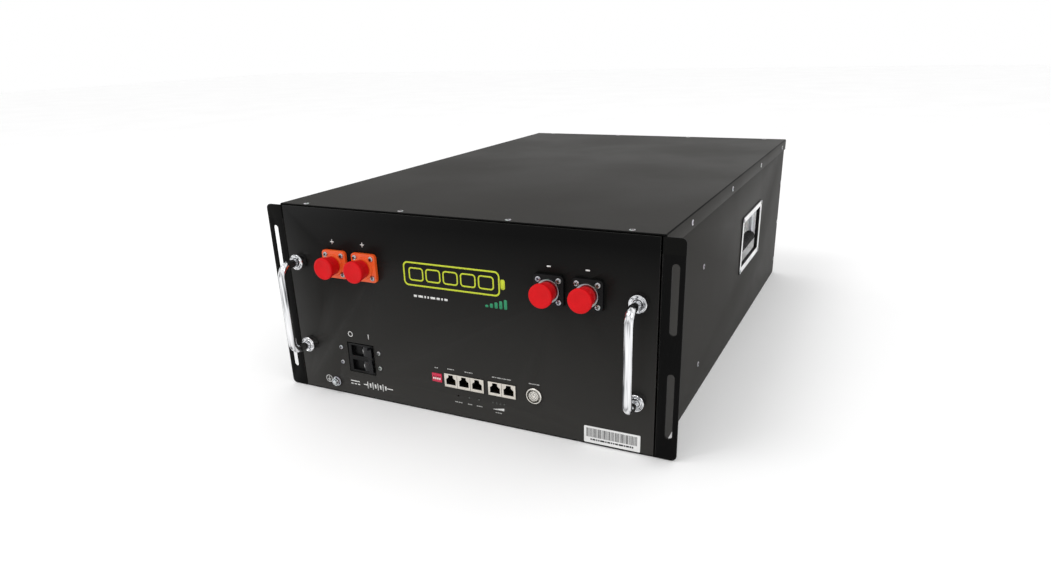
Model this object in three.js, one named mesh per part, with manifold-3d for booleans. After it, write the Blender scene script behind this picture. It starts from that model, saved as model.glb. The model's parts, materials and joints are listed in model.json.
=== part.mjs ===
// Rack battery module, five rack units high: a folded steel case with rack ears,
// sixteen upright prismatic lithium iron phosphate cells in two rows behind a bulkhead,
// and a front panel with power sockets, breaker, data ports, switches and pull handles.
//
// Millimetres, +Z up. X runs left to right across the front, the panel's face is Y = 0
// while the pieces are made, and Y grows towards the rear. The finished group is moved so
// that its origin is the middle of its footprint.

import * as THREE from 'three';
import { mergeVertices } from 'three/addons/utils/BufferGeometryUtils.js';
import Module from 'manifold-3d';

const wasm = await Module();
wasm.setup();

// ---------------------------------------------------------------- driving dimensions

const GAP = 0.3; // clearance kept between neighbouring pieces

// 19 inch rack panel, five units high
const PANEL_WIDTH = 482.6;
const PANEL_HEIGHT = 221.5;
const PANEL_BASE = 0.5;
const PANEL_TOP = PANEL_BASE + PANEL_HEIGHT;
const PANEL_SHEET = 2;
const PANEL_SIDE_GAP = 1.4;
const EAR_CORNER = 5;
const EAR_SLOT_X = 232.55;
const EAR_SLOT_WIDTH = 7;
const EAR_SLOTS = [[23.3, 91.5], [130, 198.3]];

// folded case
const BODY_WIDTH = 442;
const BODY_DEPTH = 685;
const SHEET = 1.5;
const WALL_TOP = 221.7;
const LID_LIP = 16;
const RETURN_FLANGE = 14;
const BULKHEAD_Y = 151.2;
const BULKHEAD_TOP = 206;

// power sockets with pull-off dust caps
const SOCKET_Z = 161;
const SOCKETS = [
  { name: 'positive_socket_1', cap: 'dust_cap_1', x: -150, colour: 0xde5520 },
  { name: 'positive_socket_2', cap: 'dust_cap_2', x: -110, colour: 0xde5520 },
  { name: 'negative_socket_1', cap: 'dust_cap_3', x: 110, colour: 0x151515 },
  { name: 'negative_socket_2', cap: 'dust_cap_4', x: 150, colour: 0x151515 },
];
const SOCKET_FLANGE = 31.5;
const SOCKET_FLANGE_THICK = 4;
const SOCKET_RING_FRONT = -7;
const SOCKET_RING_RADIUS = 12.2;
const SOCKET_BORE_RADIUS = 8.6;
const SOCKET_BORE_DEPTH = 14;
const SOCKET_BARREL_RADIUS = 11;
const SOCKET_BACK = 29;
const CAP_FRONT = -24;
const CAP_RADIUS = 12.1;

// two-pole breaker lying on its side
const BREAKER_X = -131;
const BREAKER_Z = 49.2;
const BREAKER_WINDOW = [38, 37.6];
const BREAKER_SIDE_GAP = 1.8;
const BREAKER_TOP_GAP = 1.6;
const BREAKER_HALF_LENGTH = 40;
const BREAKER_DEPTH = 66;
const BREAKER_PIVOT_X = -125;
const BREAKER_PIVOT_Y = 9;
const BREAKER_DRUM_RADIUS = 8.4;
const BREAKER_TILT = 36;
const POLE_LOW = [33.6, 46.4];
const POLE_HIGH = [51.6, 64.4];
const POLE_POCKET = [-144.5, -114.4];
const POLE_POCKET_DEPTH = 6;

// data ports
const PORT_PITCH = 16.3;
const PORT_BASE = 35;
const PORT_HEIGHT = 15.6;
const PORT_FRONT = -1.2;
const PORT_BACK = 14.2;
const PORT_MOUTH_DEPTH = 12.5;
const PORT_BLOCKS = [
  { name: 'port_block_triple', x: -18.5, ports: 3 },
  { name: 'port_block_double', x: 35.9, ports: 2 },
];

// address switch with four sliders
const DIP_X = [-34.6, -22.4];
const DIP_Z = [38.4, 48.4];
const DIP_FRONT = -0.6;
const DIP_PITCH = 2.6;
const DIP_SLOT = [1.7, 4.2];
const DIP_SLOT_DEPTH = 1.4;

// push buttons, lights and earth stud
const POWER_BUTTON = [89.9, 43.2];
const POWER_BEZEL_RADIUS = 9;
const POWER_CAP_RADIUS = 5.6;
const RESET = [-2.6, 25.8];
const LIGHTS = [
  { name: 'run_light', x: 11.5 },
  { name: 'alarm_light', x: 23.5 },
];
const LIGHT_Z = 25.8;
const LIGHT_RADIUS = 1.5;
const CHARGE_LIGHTS_X = [40.5, 45.1, 49.7, 54.3];
const CHARGE_LIGHT_RADIUS = 1.1;
const EARTH_STUD = [-170.6, 14.4];
const LABEL = [145.5, 205, 2.4, 21];

// front pull handles
const HANDLE_X = 201;
const HANDLE_Z = [59.75, 159.75];
const HANDLE_REACH = 33;
const HANDLE_BAR_RADIUS = 4.5;
const HANDLE_BEND = 11;
const FERRULE_RADIUS = 9;
const FERRULE_LENGTH = 9;

// recessed lifting handle in each side wall
const SIDE_HANDLE_Y = 433.5;
const SIDE_HANDLE_Z = 122;
const DISH_FLANGE = [138, 79];
const DISH_OPENING = [118, 61];
const DISH_DEPTH = 18;
const DISH_WALL = 1.5;
const DISH_FLANGE_THICK = 2;
const BAIL_DEPTH = 8.5;
const BAIL_HINGE_Z = 22;
const BAIL_GRIP_Z = -10;
const BAIL_HALF_WIDTH = 50;
const BAIL_RADIUS = 3;
const GRIP_RADIUS = 7.4;
const GRIP_LENGTH = 86;

// cell pack
const CELL = [174, 54, 204];
const CELLS_PER_ROW = 8;
const PACK_START_Y = 190;
const PACK_BASE_Z = 4;
const ROW_GAP = 5;
const PACK_LENGTH = CELL[1] * CELLS_PER_ROW;
const PACK_HALF_WIDTH = CELL[0] + ROW_GAP / 2;

// ---------------------------------------------------------------- finishes

function finish(colour, roughness, metalness) {
  return new THREE.MeshStandardMaterial({ color: colour, roughness, metalness });
}

const caseCoat = () => finish(0x464542, 0.55, 0.2);
const panelCoat = () => finish(0x1c1c1b, 0.5, 0.2);
const chrome = () => finish(0xd8d8da, 0.12, 1);
const zinc = () => finish(0xb9bcc0, 0.35, 1);
const blackPlastic = () => finish(0x121212, 0.5, 0);
const aluminium = () => finish(0xa9adb2, 0.4, 0.9);
const copper = () => finish(0xb87345, 0.35, 1);
const circuitBoard = () => finish(0x1d4a2b, 0.6, 0);

// ---------------------------------------------------------------- outlines in the XZ plane

function arc(centreX, centreZ, radius, from, to, steps) {
  return Array.from({ length: steps + 1 }, (_, index) => {
    const angle = THREE.MathUtils.degToRad(from + ((to - from) * index) / steps);
    return new THREE.Vector2(centreX + radius * Math.cos(angle), centreZ + radius * Math.sin(angle));
  });
}

function circle(centreX, centreZ, radius, sides) {
  return arc(centreX, centreZ, radius, 0, 360 - 360 / sides, sides - 1);
}

function rectangle(x0, x1, z0, z1) {
  return [[x0, z0], [x1, z0], [x1, z1], [x0, z1]].map(([x, z]) => new THREE.Vector2(x, z));
}

function roundedRectangle(x0, x1, z0, z1, radius, steps = 3) {
  return [
    ...arc(x1 - radius, z0 + radius, radius, -90, 0, steps),
    ...arc(x1 - radius, z1 - radius, radius, 0, 90, steps),
    ...arc(x0 + radius, z1 - radius, radius, 90, 180, steps),
    ...arc(x0 + radius, z0 + radius, radius, 180, 270, steps),
  ];
}

function uprightSlot(centreX, z0, z1, width) {
  const radius = width / 2;
  return [...arc(centreX, z1 - radius, radius, 0, 180, 6), ...arc(centreX, z0 + radius, radius, 180, 360, 6)];
}

// ---------------------------------------------------------------- solids

function box(x0, x1, y0, y1, z0, z1) {
  const geometry = new THREE.BoxGeometry(x1 - x0, y1 - y0, z1 - z0);
  return geometry.translate((x0 + x1) / 2, (y0 + y1) / 2, (z0 + z1) / 2);
}

// An outline in the XZ plane given thickness along Y.
function slab(outline, yFront, yBack) {
  const shape = new THREE.Shape(outline);
  const geometry = new THREE.ExtrudeGeometry(shape, { depth: yBack - yFront, bevelEnabled: false });
  geometry.rotateX(Math.PI / 2);
  return geometry.translate(0, yBack, 0);
}

// A slab with holes cut right through it.
function plate(outline, holes, yFront, yBack) {
  return cut(slab(outline, yFront, yBack), holes.map((hole) => slab(hole, yFront - 1, yBack + 1)));
}

// An outline of [y, z] points carried along X.
function alongX(outline, x0, x1) {
  return slab(outline.map(([y, z]) => new THREE.Vector2(y, z)), -x1, -x0).rotateZ(Math.PI / 2);
}

// An outline of [x, y] points carried along Z.
function alongZ(outline, z0, z1) {
  const shape = new THREE.Shape(outline.map(([x, y]) => new THREE.Vector2(x, y)));
  const geometry = new THREE.ExtrudeGeometry(shape, { depth: z1 - z0, bevelEnabled: false });
  return geometry.translate(0, 0, z0);
}

// A profile of [radius, y] points turned about the line x, z parallel to Y.
function turned(profile, x, z, sides) {
  const points = profile.map(([radius, y]) => new THREE.Vector2(radius, y));
  return new THREE.LatheGeometry(points, sides).translate(x, 0, z);
}

function rod(x, z, radius, yFront, yBack, sides) {
  return slab(circle(x, z, radius, sides), yFront, yBack);
}

// A round bar bent through a list of corner points, each corner rounded to one radius.
function bentBar(corners, bend, radius, sides, steps) {
  const points = corners.map((corner) => new THREE.Vector3(...corner));
  const path = new THREE.CurvePath();
  let start = points[0];
  for (let index = 1; index < points.length - 1; index += 1) {
    const corner = points[index];
    const into = corner.clone().add(points[index - 1].clone().sub(corner).setLength(bend));
    const out = corner.clone().add(points[index + 1].clone().sub(corner).setLength(bend));
    path.add(new THREE.LineCurve3(start, into));
    path.add(new THREE.QuadraticBezierCurve3(into, corner.clone().lerp(into, 0.1), out));
    start = out;
  }
  path.add(new THREE.LineCurve3(start, points[points.length - 1]));
  const section = new THREE.Shape(circle(0, 0, radius, sides));
  return new THREE.ExtrudeGeometry(section, { extrudePath: path, steps });
}

function solid(geometry) {
  const bare = geometry.index ? geometry.toNonIndexed() : geometry.clone();
  bare.deleteAttribute('normal');
  bare.deleteAttribute('uv');
  const merged = mergeVertices(bare, 1e-4);
  return new wasm.Manifold(new wasm.Mesh({
    numProp: 3,
    vertProperties: new Float32Array(merged.attributes.position.array),
    triVerts: new Uint32Array(merged.index.array),
  }));
}

function geometryOf(manifold) {
  const mesh = manifold.getMesh();
  const geometry = new THREE.BufferGeometry();
  geometry.setAttribute('position', new THREE.BufferAttribute(mesh.vertProperties, 3));
  geometry.setIndex(new THREE.BufferAttribute(mesh.triVerts, 1));
  geometry.computeVertexNormals();
  return geometry;
}

function joined(pieces) {
  return geometryOf(pieces.map(solid).reduce((whole, piece) => whole.add(piece)));
}

function cut(base, tools) {
  return geometryOf(tools.map(solid).reduce((rest, tool) => rest.subtract(tool), solid(base)));
}

const battery = new THREE.Group();
battery.position.y = -(BODY_DEPTH - HANDLE_REACH - HANDLE_BAR_RADIUS) / 2;

function add(name, geometry, material, parent = battery) {
  const mesh = new THREE.Mesh(geometry, material);
  mesh.name = name;
  parent.add(mesh);
}

// ---------------------------------------------------------------- case

// Ear with two upright mounting slots. Its inner edge lies inside the side wall's sheet.
function earPlate(side) {
  const inner = BODY_WIDTH / 2 - SHEET / 2;
  const outer = PANEL_WIDTH / 2;
  const outline = [
    new THREE.Vector2(inner, PANEL_BASE),
    ...arc(outer - EAR_CORNER, PANEL_BASE + EAR_CORNER, EAR_CORNER, -90, 0, 4),
    ...arc(outer - EAR_CORNER, PANEL_TOP - EAR_CORNER, EAR_CORNER, 0, 90, 4),
    new THREE.Vector2(inner, PANEL_TOP),
  ];
  const slots = EAR_SLOTS.map(([low, high]) => uprightSlot(EAR_SLOT_X, low, high, EAR_SLOT_WIDTH));
  const flip = (points) => points.map((point) => new THREE.Vector2(-point.x, point.y)).reverse();
  const placed = side > 0 ? [outline, ...slots] : [outline, ...slots].map(flip);
  return plate(placed[0], placed.slice(1), 0, PANEL_SHEET);
}

// Base and both side walls folded from one sheet, with the walls' front edges turned out
// into the rack ears and a window in each wall for its lifting handle.
function caseBody() {
  const outer = BODY_WIDTH / 2;
  const inner = outer - SHEET;
  const trough = [
    [-outer, 0], [outer, 0], [outer, WALL_TOP], [inner, WALL_TOP],
    [inner, SHEET], [-inner, SHEET], [-inner, WALL_TOP], [-outer, WALL_TOP],
  ].map(([x, z]) => new THREE.Vector2(x, z));
  const sheet = joined([slab(trough, PANEL_SHEET / 2, BODY_DEPTH), earPlate(-1), earPlate(1)]);
  const halfY = DISH_OPENING[0] / 2 + DISH_WALL + GAP;
  const halfZ = DISH_OPENING[1] / 2 + DISH_WALL + GAP;
  const window = box(
    -outer - 5, outer + 5,
    SIDE_HANDLE_Y - halfY, SIDE_HANDLE_Y + halfY,
    SIDE_HANDLE_Z - halfZ, SIDE_HANDLE_Z + halfZ,
  );
  return cut(sheet, [window]);
}

// Flat lid whose long edges fold down outside the side walls.
function lid() {
  const inner = BODY_WIDTH / 2 + GAP;
  const outer = inner + SHEET;
  const under = PANEL_TOP + GAP;
  const top = under + SHEET;
  const bend = 1.2;
  const low = top - LID_LIP;
  const outline = [
    [-outer, low], [-inner, low], [-inner, under], [inner, under], [inner, low], [outer, low],
    [outer, top - bend], [outer - bend, top], [-outer + bend, top], [-outer, top - bend],
  ].map(([x, z]) => new THREE.Vector2(x, z));
  return slab(outline, PANEL_SHEET + GAP, BODY_DEPTH);
}

function portWindow({ x, ports }) {
  return rectangle(x - GAP, x + ports * PORT_PITCH + GAP, PORT_BASE - GAP, PORT_BASE + PORT_HEIGHT + GAP);
}

// Front sheet with a cut-out for every fitting, and a flange folded back along its top.
function frontPanel() {
  const half = BODY_WIDTH / 2 - SHEET - PANEL_SIDE_GAP;
  const [windowWidth, windowHeight] = BREAKER_WINDOW;
  const holes = [
    ...SOCKETS.map(({ x }) => circle(x, SOCKET_Z, SOCKET_BARREL_RADIUS + GAP, 20)),
    rectangle(
      BREAKER_X - windowWidth / 2, BREAKER_X + windowWidth / 2,
      BREAKER_Z - windowHeight / 2, BREAKER_Z + windowHeight / 2,
    ),
    ...PORT_BLOCKS.map(portWindow),
    rectangle(DIP_X[0] - GAP, DIP_X[1] + GAP, DIP_Z[0] - GAP, DIP_Z[1] + GAP),
    circle(...POWER_BUTTON, 8.1, 20),
    circle(...RESET, 1.3, 10),
    ...LIGHTS.map(({ x }) => circle(x, LIGHT_Z, LIGHT_RADIUS + GAP, 10)),
    ...CHARGE_LIGHTS_X.map((x) => circle(x, LIGHT_Z, CHARGE_LIGHT_RADIUS + GAP, 8)),
    circle(...EARTH_STUD, 3.3, 12),
  ];
  const low = SHEET + GAP;
  const fold = [
    [0, low], [PANEL_SHEET, low], [PANEL_SHEET, PANEL_TOP - SHEET],
    [RETURN_FLANGE, PANEL_TOP - SHEET], [RETURN_FLANGE, PANEL_TOP], [0, PANEL_TOP],
  ];
  return cut(alongX(fold, -half, half), holes.map((hole) => slab(hole, -1, PANEL_SHEET + 1)));
}

function rearPanel() {
  const half = BODY_WIDTH / 2 - SHEET - GAP;
  const back = BODY_DEPTH - 0.5;
  const inside = back - SHEET;
  const fold = [
    [back, SHEET + GAP], [back, PANEL_TOP], [back - RETURN_FLANGE, PANEL_TOP],
    [back - RETURN_FLANGE, PANEL_TOP - SHEET], [inside, PANEL_TOP - SHEET],
    [inside, 2 * SHEET + GAP], [back - RETURN_FLANGE, 2 * SHEET + GAP], [back - RETURN_FLANGE, SHEET + GAP],
  ];
  return alongX(fold, -half, half);
}

// Cross wall between the electronics bay and the cells, its sides folded back to take
// the case's side screws, with two ways through for the cell leads.
function bulkhead() {
  const half = BODY_WIDTH / 2 - SHEET - GAP;
  const flangeBack = BULKHEAD_Y + 15;
  const channel = [
    [-half, BULKHEAD_Y], [half, BULKHEAD_Y], [half, flangeBack], [half - SHEET, flangeBack],
    [half - SHEET, BULKHEAD_Y + SHEET], [SHEET - half, BULKHEAD_Y + SHEET],
    [SHEET - half, flangeBack], [-half, flangeBack],
  ];
  const leadWays = [-150, 150].map((x) => {
    const outline = roundedRectangle(x - 25, x + 25, 150, 180, 5, 2);
    return slab(outline, BULKHEAD_Y - 1, BULKHEAD_Y + SHEET + 1);
  });
  return cut(alongZ(channel, SHEET + GAP, BULKHEAD_TOP), leadWays);
}

add('case_body', caseBody(), caseCoat());
add('lid', lid(), caseCoat());
add('front_panel', frontPanel(), panelCoat());
add('rear_panel', rearPanel(), caseCoat());
add('bulkhead', bulkhead(), zinc());

// ---------------------------------------------------------------- power sockets and caps

// Square flange outside the panel with a raised ring, and a barrel through the panel.
function powerSocket(x) {
  const half = SOCKET_FLANGE / 2;
  const face = -GAP;
  const outline = roundedRectangle(x - half, x + half, SOCKET_Z - half, SOCKET_Z + half, 4);
  const flange = slab(outline, face - SOCKET_FLANGE_THICK, face);
  const barrel = turned([
    [0, SOCKET_RING_FRONT], [SOCKET_RING_RADIUS - 1, SOCKET_RING_FRONT],
    [SOCKET_RING_RADIUS, SOCKET_RING_FRONT + 1], [SOCKET_RING_RADIUS, face - 1],
    [SOCKET_BARREL_RADIUS, face - 1], [SOCKET_BARREL_RADIUS, SOCKET_BACK - 8],
    [6, SOCKET_BACK - 8], [6, SOCKET_BACK], [0, SOCKET_BACK],
  ], x, SOCKET_Z, 20);
  const bore = rod(x, SOCKET_Z, SOCKET_BORE_RADIUS, SOCKET_RING_FRONT - 1, SOCKET_BORE_DEPTH, 20);
  return cut(joined([flange, barrel]), [bore]);
}

// Flat-fronted cap, narrowing towards the socket, with a hollow spigot that fills its bore.
function dustCap(x) {
  const shoulder = SOCKET_RING_FRONT - GAP;
  return turned([
    [0, CAP_FRONT], [CAP_RADIUS - 0.9, CAP_FRONT], [CAP_RADIUS, CAP_FRONT + 0.9],
    [CAP_RADIUS - 0.4, CAP_FRONT + 5], [CAP_RADIUS - 1.8, shoulder],
    [8.2, shoulder], [8, 9], [5.5, 9], [5.5, CAP_FRONT + 6], [0, CAP_FRONT + 6],
  ], x, SOCKET_Z, 24);
}

for (const { name, cap, x, colour } of SOCKETS) {
  add(name, powerSocket(x), finish(colour, 0.45, 0));
  add(cap, dustCap(x), finish(0xcd2028, 0.5, 0));
}

function linkBar(x0, x1) {
  const front = SOCKET_BACK + GAP;
  return box(x0 - 9, x1 + 9, front, front + 3, SOCKET_Z - 9, SOCKET_Z + 9);
}

add('positive_bus_bar', linkBar(SOCKETS[0].x, SOCKETS[1].x), copper());
add('negative_bus_bar', linkBar(SOCKETS[2].x, SOCKETS[3].x), copper());

// ---------------------------------------------------------------- breaker

// Deep case behind the panel with a nose in the window, and a pocket for each pole's lever.
function breakerBody() {
  const halfX = BREAKER_WINDOW[0] / 2 - 0.6;
  const halfZ = BREAKER_WINDOW[1] / 2 - 0.6;
  const right = BREAKER_WINDOW[0] / 2 - BREAKER_SIDE_GAP;
  const top = BREAKER_Z + BREAKER_WINDOW[1] / 2 - BREAKER_TOP_GAP;
  const shoulder = PANEL_SHEET + 3;
  const outline = [
    [-halfX, 0.8], [right, 0.8], [right, shoulder], [BREAKER_HALF_LENGTH, shoulder],
    [BREAKER_HALF_LENGTH, BREAKER_DEPTH], [-BREAKER_HALF_LENGTH, BREAKER_DEPTH],
    [-BREAKER_HALF_LENGTH, shoulder], [-halfX, shoulder],
  ].map(([x, y]) => [BREAKER_X + x, y]);
  const pockets = [POLE_LOW, POLE_HIGH].flatMap(([low, high]) => {
    const well = new THREE.CylinderGeometry(9, 9, high - low, 20);
    well.rotateX(Math.PI / 2);
    well.translate(BREAKER_PIVOT_X, BREAKER_PIVOT_Y, (low + high) / 2);
    return [well, box(...POLE_POCKET, -1, POLE_POCKET_DEPTH, low, high)];
  });
  return cut(alongZ(outline, BREAKER_Z - halfZ, top), pockets);
}

// Two drums with a finger tab each, tied together in front of the rib between the poles.
function breakerLever() {
  const leans = (geometry) => {
    geometry.rotateZ(THREE.MathUtils.degToRad(BREAKER_TILT));
    return geometry.translate(BREAKER_PIVOT_X, BREAKER_PIVOT_Y, 0);
  };
  const poles = [POLE_LOW, POLE_HIGH].flatMap(([low, high]) => {
    const drum = new THREE.CylinderGeometry(BREAKER_DRUM_RADIUS, BREAKER_DRUM_RADIUS, high - low - 0.6, 20);
    drum.rotateX(Math.PI / 2);
    drum.translate(BREAKER_PIVOT_X, BREAKER_PIVOT_Y, (low + high) / 2);
    return [drum, leans(box(-2.3, 2.3, -16.5, -4, low + 1, high - 1))];
  });
  const tie = leans(box(-1.8, 1.8, -16, -12.6, POLE_LOW[1] - 3, POLE_HIGH[0] + 3));
  return joined([...poles, tie]);
}

add('breaker_body', breakerBody(), blackPlastic());
add('breaker_lever', breakerLever(), blackPlastic());

// ---------------------------------------------------------------- data ports and switches

// Wide lower mouth that narrows to the latch tab's notch above it.
function portMouth(centreX) {
  const z = PORT_BASE + 3;
  return [
    [-5.9, 0], [5.9, 0], [5.9, 6.2], [3.2, 8.2], [2.7, 11.4], [-2.7, 11.4], [-3.2, 8.2], [-5.9, 6.2],
  ].map(([x, height]) => new THREE.Vector2(centreX + x, z + height));
}

function portBlock({ x, ports }) {
  const shell = box(x, x + ports * PORT_PITCH, PORT_FRONT, PORT_BACK, PORT_BASE, PORT_BASE + PORT_HEIGHT);
  const mouths = Array.from({ length: ports }, (_, index) => {
    const outline = portMouth(x + (index + 0.5) * PORT_PITCH);
    return slab(outline, PORT_FRONT - 1, PORT_FRONT + PORT_MOUTH_DEPTH);
  });
  return cut(shell, mouths);
}

for (const block of PORT_BLOCKS) {
  add(block.name, portBlock(block), finish(0xdcd8d0, 0.45, 0));
}

const dipCentres = Array.from({ length: 4 }, (_, index) => {
  return (DIP_X[0] + DIP_X[1]) / 2 + (index - 1.5) * DIP_PITCH;
});
const dipSlotBase = (DIP_Z[0] + DIP_Z[1] - DIP_SLOT[1]) / 2;

function dipBody() {
  const body = box(...DIP_X, DIP_FRONT, 9, ...DIP_Z);
  const legs = box(DIP_X[0], DIP_X[1], 4, 9, PORT_BASE, DIP_Z[0] + 1);
  const slots = dipCentres.map((x) => {
    const half = DIP_SLOT[0] / 2;
    return box(x - half, x + half, DIP_FRONT - 1, DIP_FRONT + DIP_SLOT_DEPTH, dipSlotBase, dipSlotBase + DIP_SLOT[1]);
  });
  return cut(joined([body, legs]), slots);
}

add('address_switch', dipBody(), finish(0xc8365c, 0.45, 0));
dipCentres.forEach((x, index) => {
  const slider = box(
    x - 0.7, x + 0.7, DIP_FRONT - 0.3, DIP_FRONT + DIP_SLOT_DEPTH - 0.15,
    dipSlotBase + 0.15, dipSlotBase + 2.15,
  );
  add(`address_slider_${index + 1}`, slider, finish(0xf2f0ec, 0.4, 0));
});

function powerButtonHousing() {
  const shell = turned([
    [0, -2.4], [7.6, -2.4], [POWER_BEZEL_RADIUS, -1.6], [POWER_BEZEL_RADIUS, -GAP],
    [7.8, -GAP], [7.8, 24], [0, 24],
  ], ...POWER_BUTTON, 24);
  return cut(shell, [rod(...POWER_BUTTON, POWER_CAP_RADIUS + 0.2, -4, 9.5, 20)]);
}

add('power_button_housing', powerButtonHousing(), chrome());
add('power_button_cap', turned([
  [0, -2.1], [POWER_CAP_RADIUS - 0.6, -2.1], [POWER_CAP_RADIUS, -1.6], [POWER_CAP_RADIUS, 6.2], [0, 6.2],
], ...POWER_BUTTON, 20), chrome());
add('power_button_nut', plate(
  circle(...POWER_BUTTON, 12.4, 6), [circle(...POWER_BUTTON, 8.1, 20)],
  PANEL_SHEET + GAP, PANEL_SHEET + GAP + 3,
), zinc());

// Level board under the ports, with the reset switch hanging from its lower face.
function interfaceBoard() {
  const [x, z] = RESET;
  const top = PORT_BASE - GAP;
  return joined([
    box(-42, 74, 3, 70, top - 1.6, top),
    box(x - 3, x + 3, 7.4, 12.4, z - 3, top - 1),
  ]);
}

add('interface_board', interfaceBoard(), circuitBoard());
add('reset_button', rod(...RESET, 1.75, PANEL_SHEET + 0.4, 6.9, 10), finish(0x202020, 0.5, 0));

for (const { name, x } of LIGHTS) {
  add(name, turned([
    [0, -0.9], [0.9, -0.7], [LIGHT_RADIUS, -0.1], [LIGHT_RADIUS, 9], [0, 9],
  ], x, LIGHT_Z, 12), finish(0x2b2d2a, 0.2, 0));
}
const chargeBar = box(
  CHARGE_LIGHTS_X[0] - 3, CHARGE_LIGHTS_X[3] + 3, PANEL_SHEET + GAP, 8, LIGHT_Z - 2, LIGHT_Z + 2,
);
const chargePins = CHARGE_LIGHTS_X.map((x) => rod(x, LIGHT_Z, CHARGE_LIGHT_RADIUS, -0.1, 4, 10));
add('charge_light_pipe', joined([chargeBar, ...chargePins]), finish(0x2b2d2a, 0.2, 0));

// ---------------------------------------------------------------- earth stud and label

add('earth_stud', turned([
  [0, -7.2], [2.4, -7.2], [3, -6.4], [3, 2.3], [5, 2.3], [5, 5], [0, 5],
], ...EARTH_STUD, 14), zinc());

function earthNut() {
  const hex = slab(circle(...EARTH_STUD, 5.3, 6), -4.8, -0.9);
  const flange = rod(...EARTH_STUD, 5.8, -1.6, -GAP, 16);
  return cut(joined([hex, flange]), [rod(...EARTH_STUD, 3.3, -7, 1, 14)]);
}

add('earth_nut', earthNut(), zinc());
add('serial_label', slab(roundedRectangle(...LABEL, 1), -0.55, -0.25), finish(0xf4f4f2, 0.6, 0));

// ---------------------------------------------------------------- front handles

function frontHandle(x) {
  const root = -GAP;
  const [low, high] = HANDLE_Z;
  const corners = [[x, root, low], [x, -HANDLE_REACH, low], [x, -HANDLE_REACH, high], [x, root, high]];
  return bentBar(corners, HANDLE_BEND, HANDLE_BAR_RADIUS, 10, 32);
}

function ferrule(x, z) {
  const front = -GAP - FERRULE_LENGTH;
  const bore = HANDLE_BAR_RADIUS + 0.4;
  return turned([
    [bore, -GAP], [bore, front], [FERRULE_RADIUS - 1, front], [FERRULE_RADIUS, front + 1],
    [FERRULE_RADIUS, -GAP], [bore, -GAP],
  ], x, z, 20);
}

for (const [side, x] of [['left', -HANDLE_X], ['right', HANDLE_X]]) {
  add(`front_handle_${side}`, frontHandle(x), chrome());
  add(`ferrule_${side}_lower`, ferrule(x, HANDLE_Z[0]), chrome());
  add(`ferrule_${side}_upper`, ferrule(x, HANDLE_Z[1]), chrome());
}

// ---------------------------------------------------------------- recessed side handles

// Pressed dish with a flange on the wall's outer face. Made lying along X with its open
// side towards -Y and Y = 0 on the wall's outer face, then turned to face outwards.
function handleDish() {
  const [openWide, openHigh] = DISH_OPENING.map((size) => size / 2);
  const [flangeWide, flangeHigh] = DISH_FLANGE.map((size) => size / 2);
  const lipFront = -GAP - DISH_FLANGE_THICK;
  const flange = slab(roundedRectangle(-flangeWide, flangeWide, -flangeHigh, flangeHigh, 6), lipFront, -GAP);
  const floor = DISH_DEPTH + DISH_WALL;
  const wallWide = openWide + DISH_WALL;
  const wallHigh = openHigh + DISH_WALL;
  const shell = box(-wallWide, wallWide, lipFront + 1, floor, -wallHigh, wallHigh);
  const hollow = box(-openWide, openWide, lipFront - 1, DISH_DEPTH, -openHigh, openHigh);
  return cut(joined([flange, shell]), [hollow]);
}

// Bent steel bail whose turned-out ends hinge in the dish's end walls.
function handleBail() {
  const end = DISH_OPENING[0] / 2 - GAP;
  const wide = BAIL_HALF_WIDTH;
  const corners = [
    [-end, BAIL_HINGE_Z], [-wide, BAIL_HINGE_Z], [-wide, BAIL_GRIP_Z],
    [wide, BAIL_GRIP_Z], [wide, BAIL_HINGE_Z], [end, BAIL_HINGE_Z],
  ].map(([x, z]) => [x, BAIL_DEPTH, z]);
  return bentBar(corners, 6, BAIL_RADIUS, 8, 36);
}

function handleGrip() {
  const half = GRIP_LENGTH / 2;
  const bore = BAIL_RADIUS + GAP;
  const profile = [
    [bore, -half], [GRIP_RADIUS - 1, -half], [GRIP_RADIUS, -half + 1],
    [GRIP_RADIUS, half - 1], [GRIP_RADIUS - 1, half], [bore, half], [bore, -half],
  ];
  const sleeve = turned(profile, 0, 0, 16);
  sleeve.rotateZ(-Math.PI / 2);
  return sleeve.translate(0, BAIL_DEPTH, BAIL_GRIP_Z);
}

for (const [name, side] of [['left', -1], ['right', 1]]) {
  const station = new THREE.Group();
  station.position.set(side * (BODY_WIDTH / 2), SIDE_HANDLE_Y, SIDE_HANDLE_Z);
  station.rotation.z = (side * Math.PI) / 2;
  battery.add(station);
  add(`side_handle_dish_${name}`, handleDish(), zinc(), station);
  add(`side_handle_bail_${name}`, handleBail(), zinc(), station);
  add(`side_handle_grip_${name}`, handleGrip(), finish(0x1b1b1c, 0.8, 0), station);
}

// ---------------------------------------------------------------- cells and electronics

// Eight upright cells side by side, each with two raised terminals, held as one row.
function cellRow(side) {
  const [width, pitch, height] = CELL;
  const inner = side * (ROW_GAP / 2);
  const outer = side * (ROW_GAP / 2 + width);
  const [x0, x1] = [Math.min(inner, outer), Math.max(inner, outer)];
  const cells = Array.from({ length: CELLS_PER_ROW }, (_, index) => {
    const y = PACK_START_Y + index * pitch;
    const top = PACK_BASE_Z + height;
    return [
      box(x0, x1, y + 0.5, y + pitch - 0.5, PACK_BASE_Z, top),
      ...[x0 + 30, x1 - 30].map((x) => box(x - 10, x + 10, y + 18, y + 36, top - 1, top + 3)),
    ];
  }).flat();
  const core = box(
    x0 + 2, x1 - 2, PACK_START_Y + 1, PACK_START_Y + PACK_LENGTH - 1, PACK_BASE_Z + 2, PACK_BASE_Z + height - 2,
  );
  return joined([core, ...cells]);
}

const packEnd = PACK_START_Y + PACK_LENGTH;
const packTop = PACK_BASE_Z + CELL[2];

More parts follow.
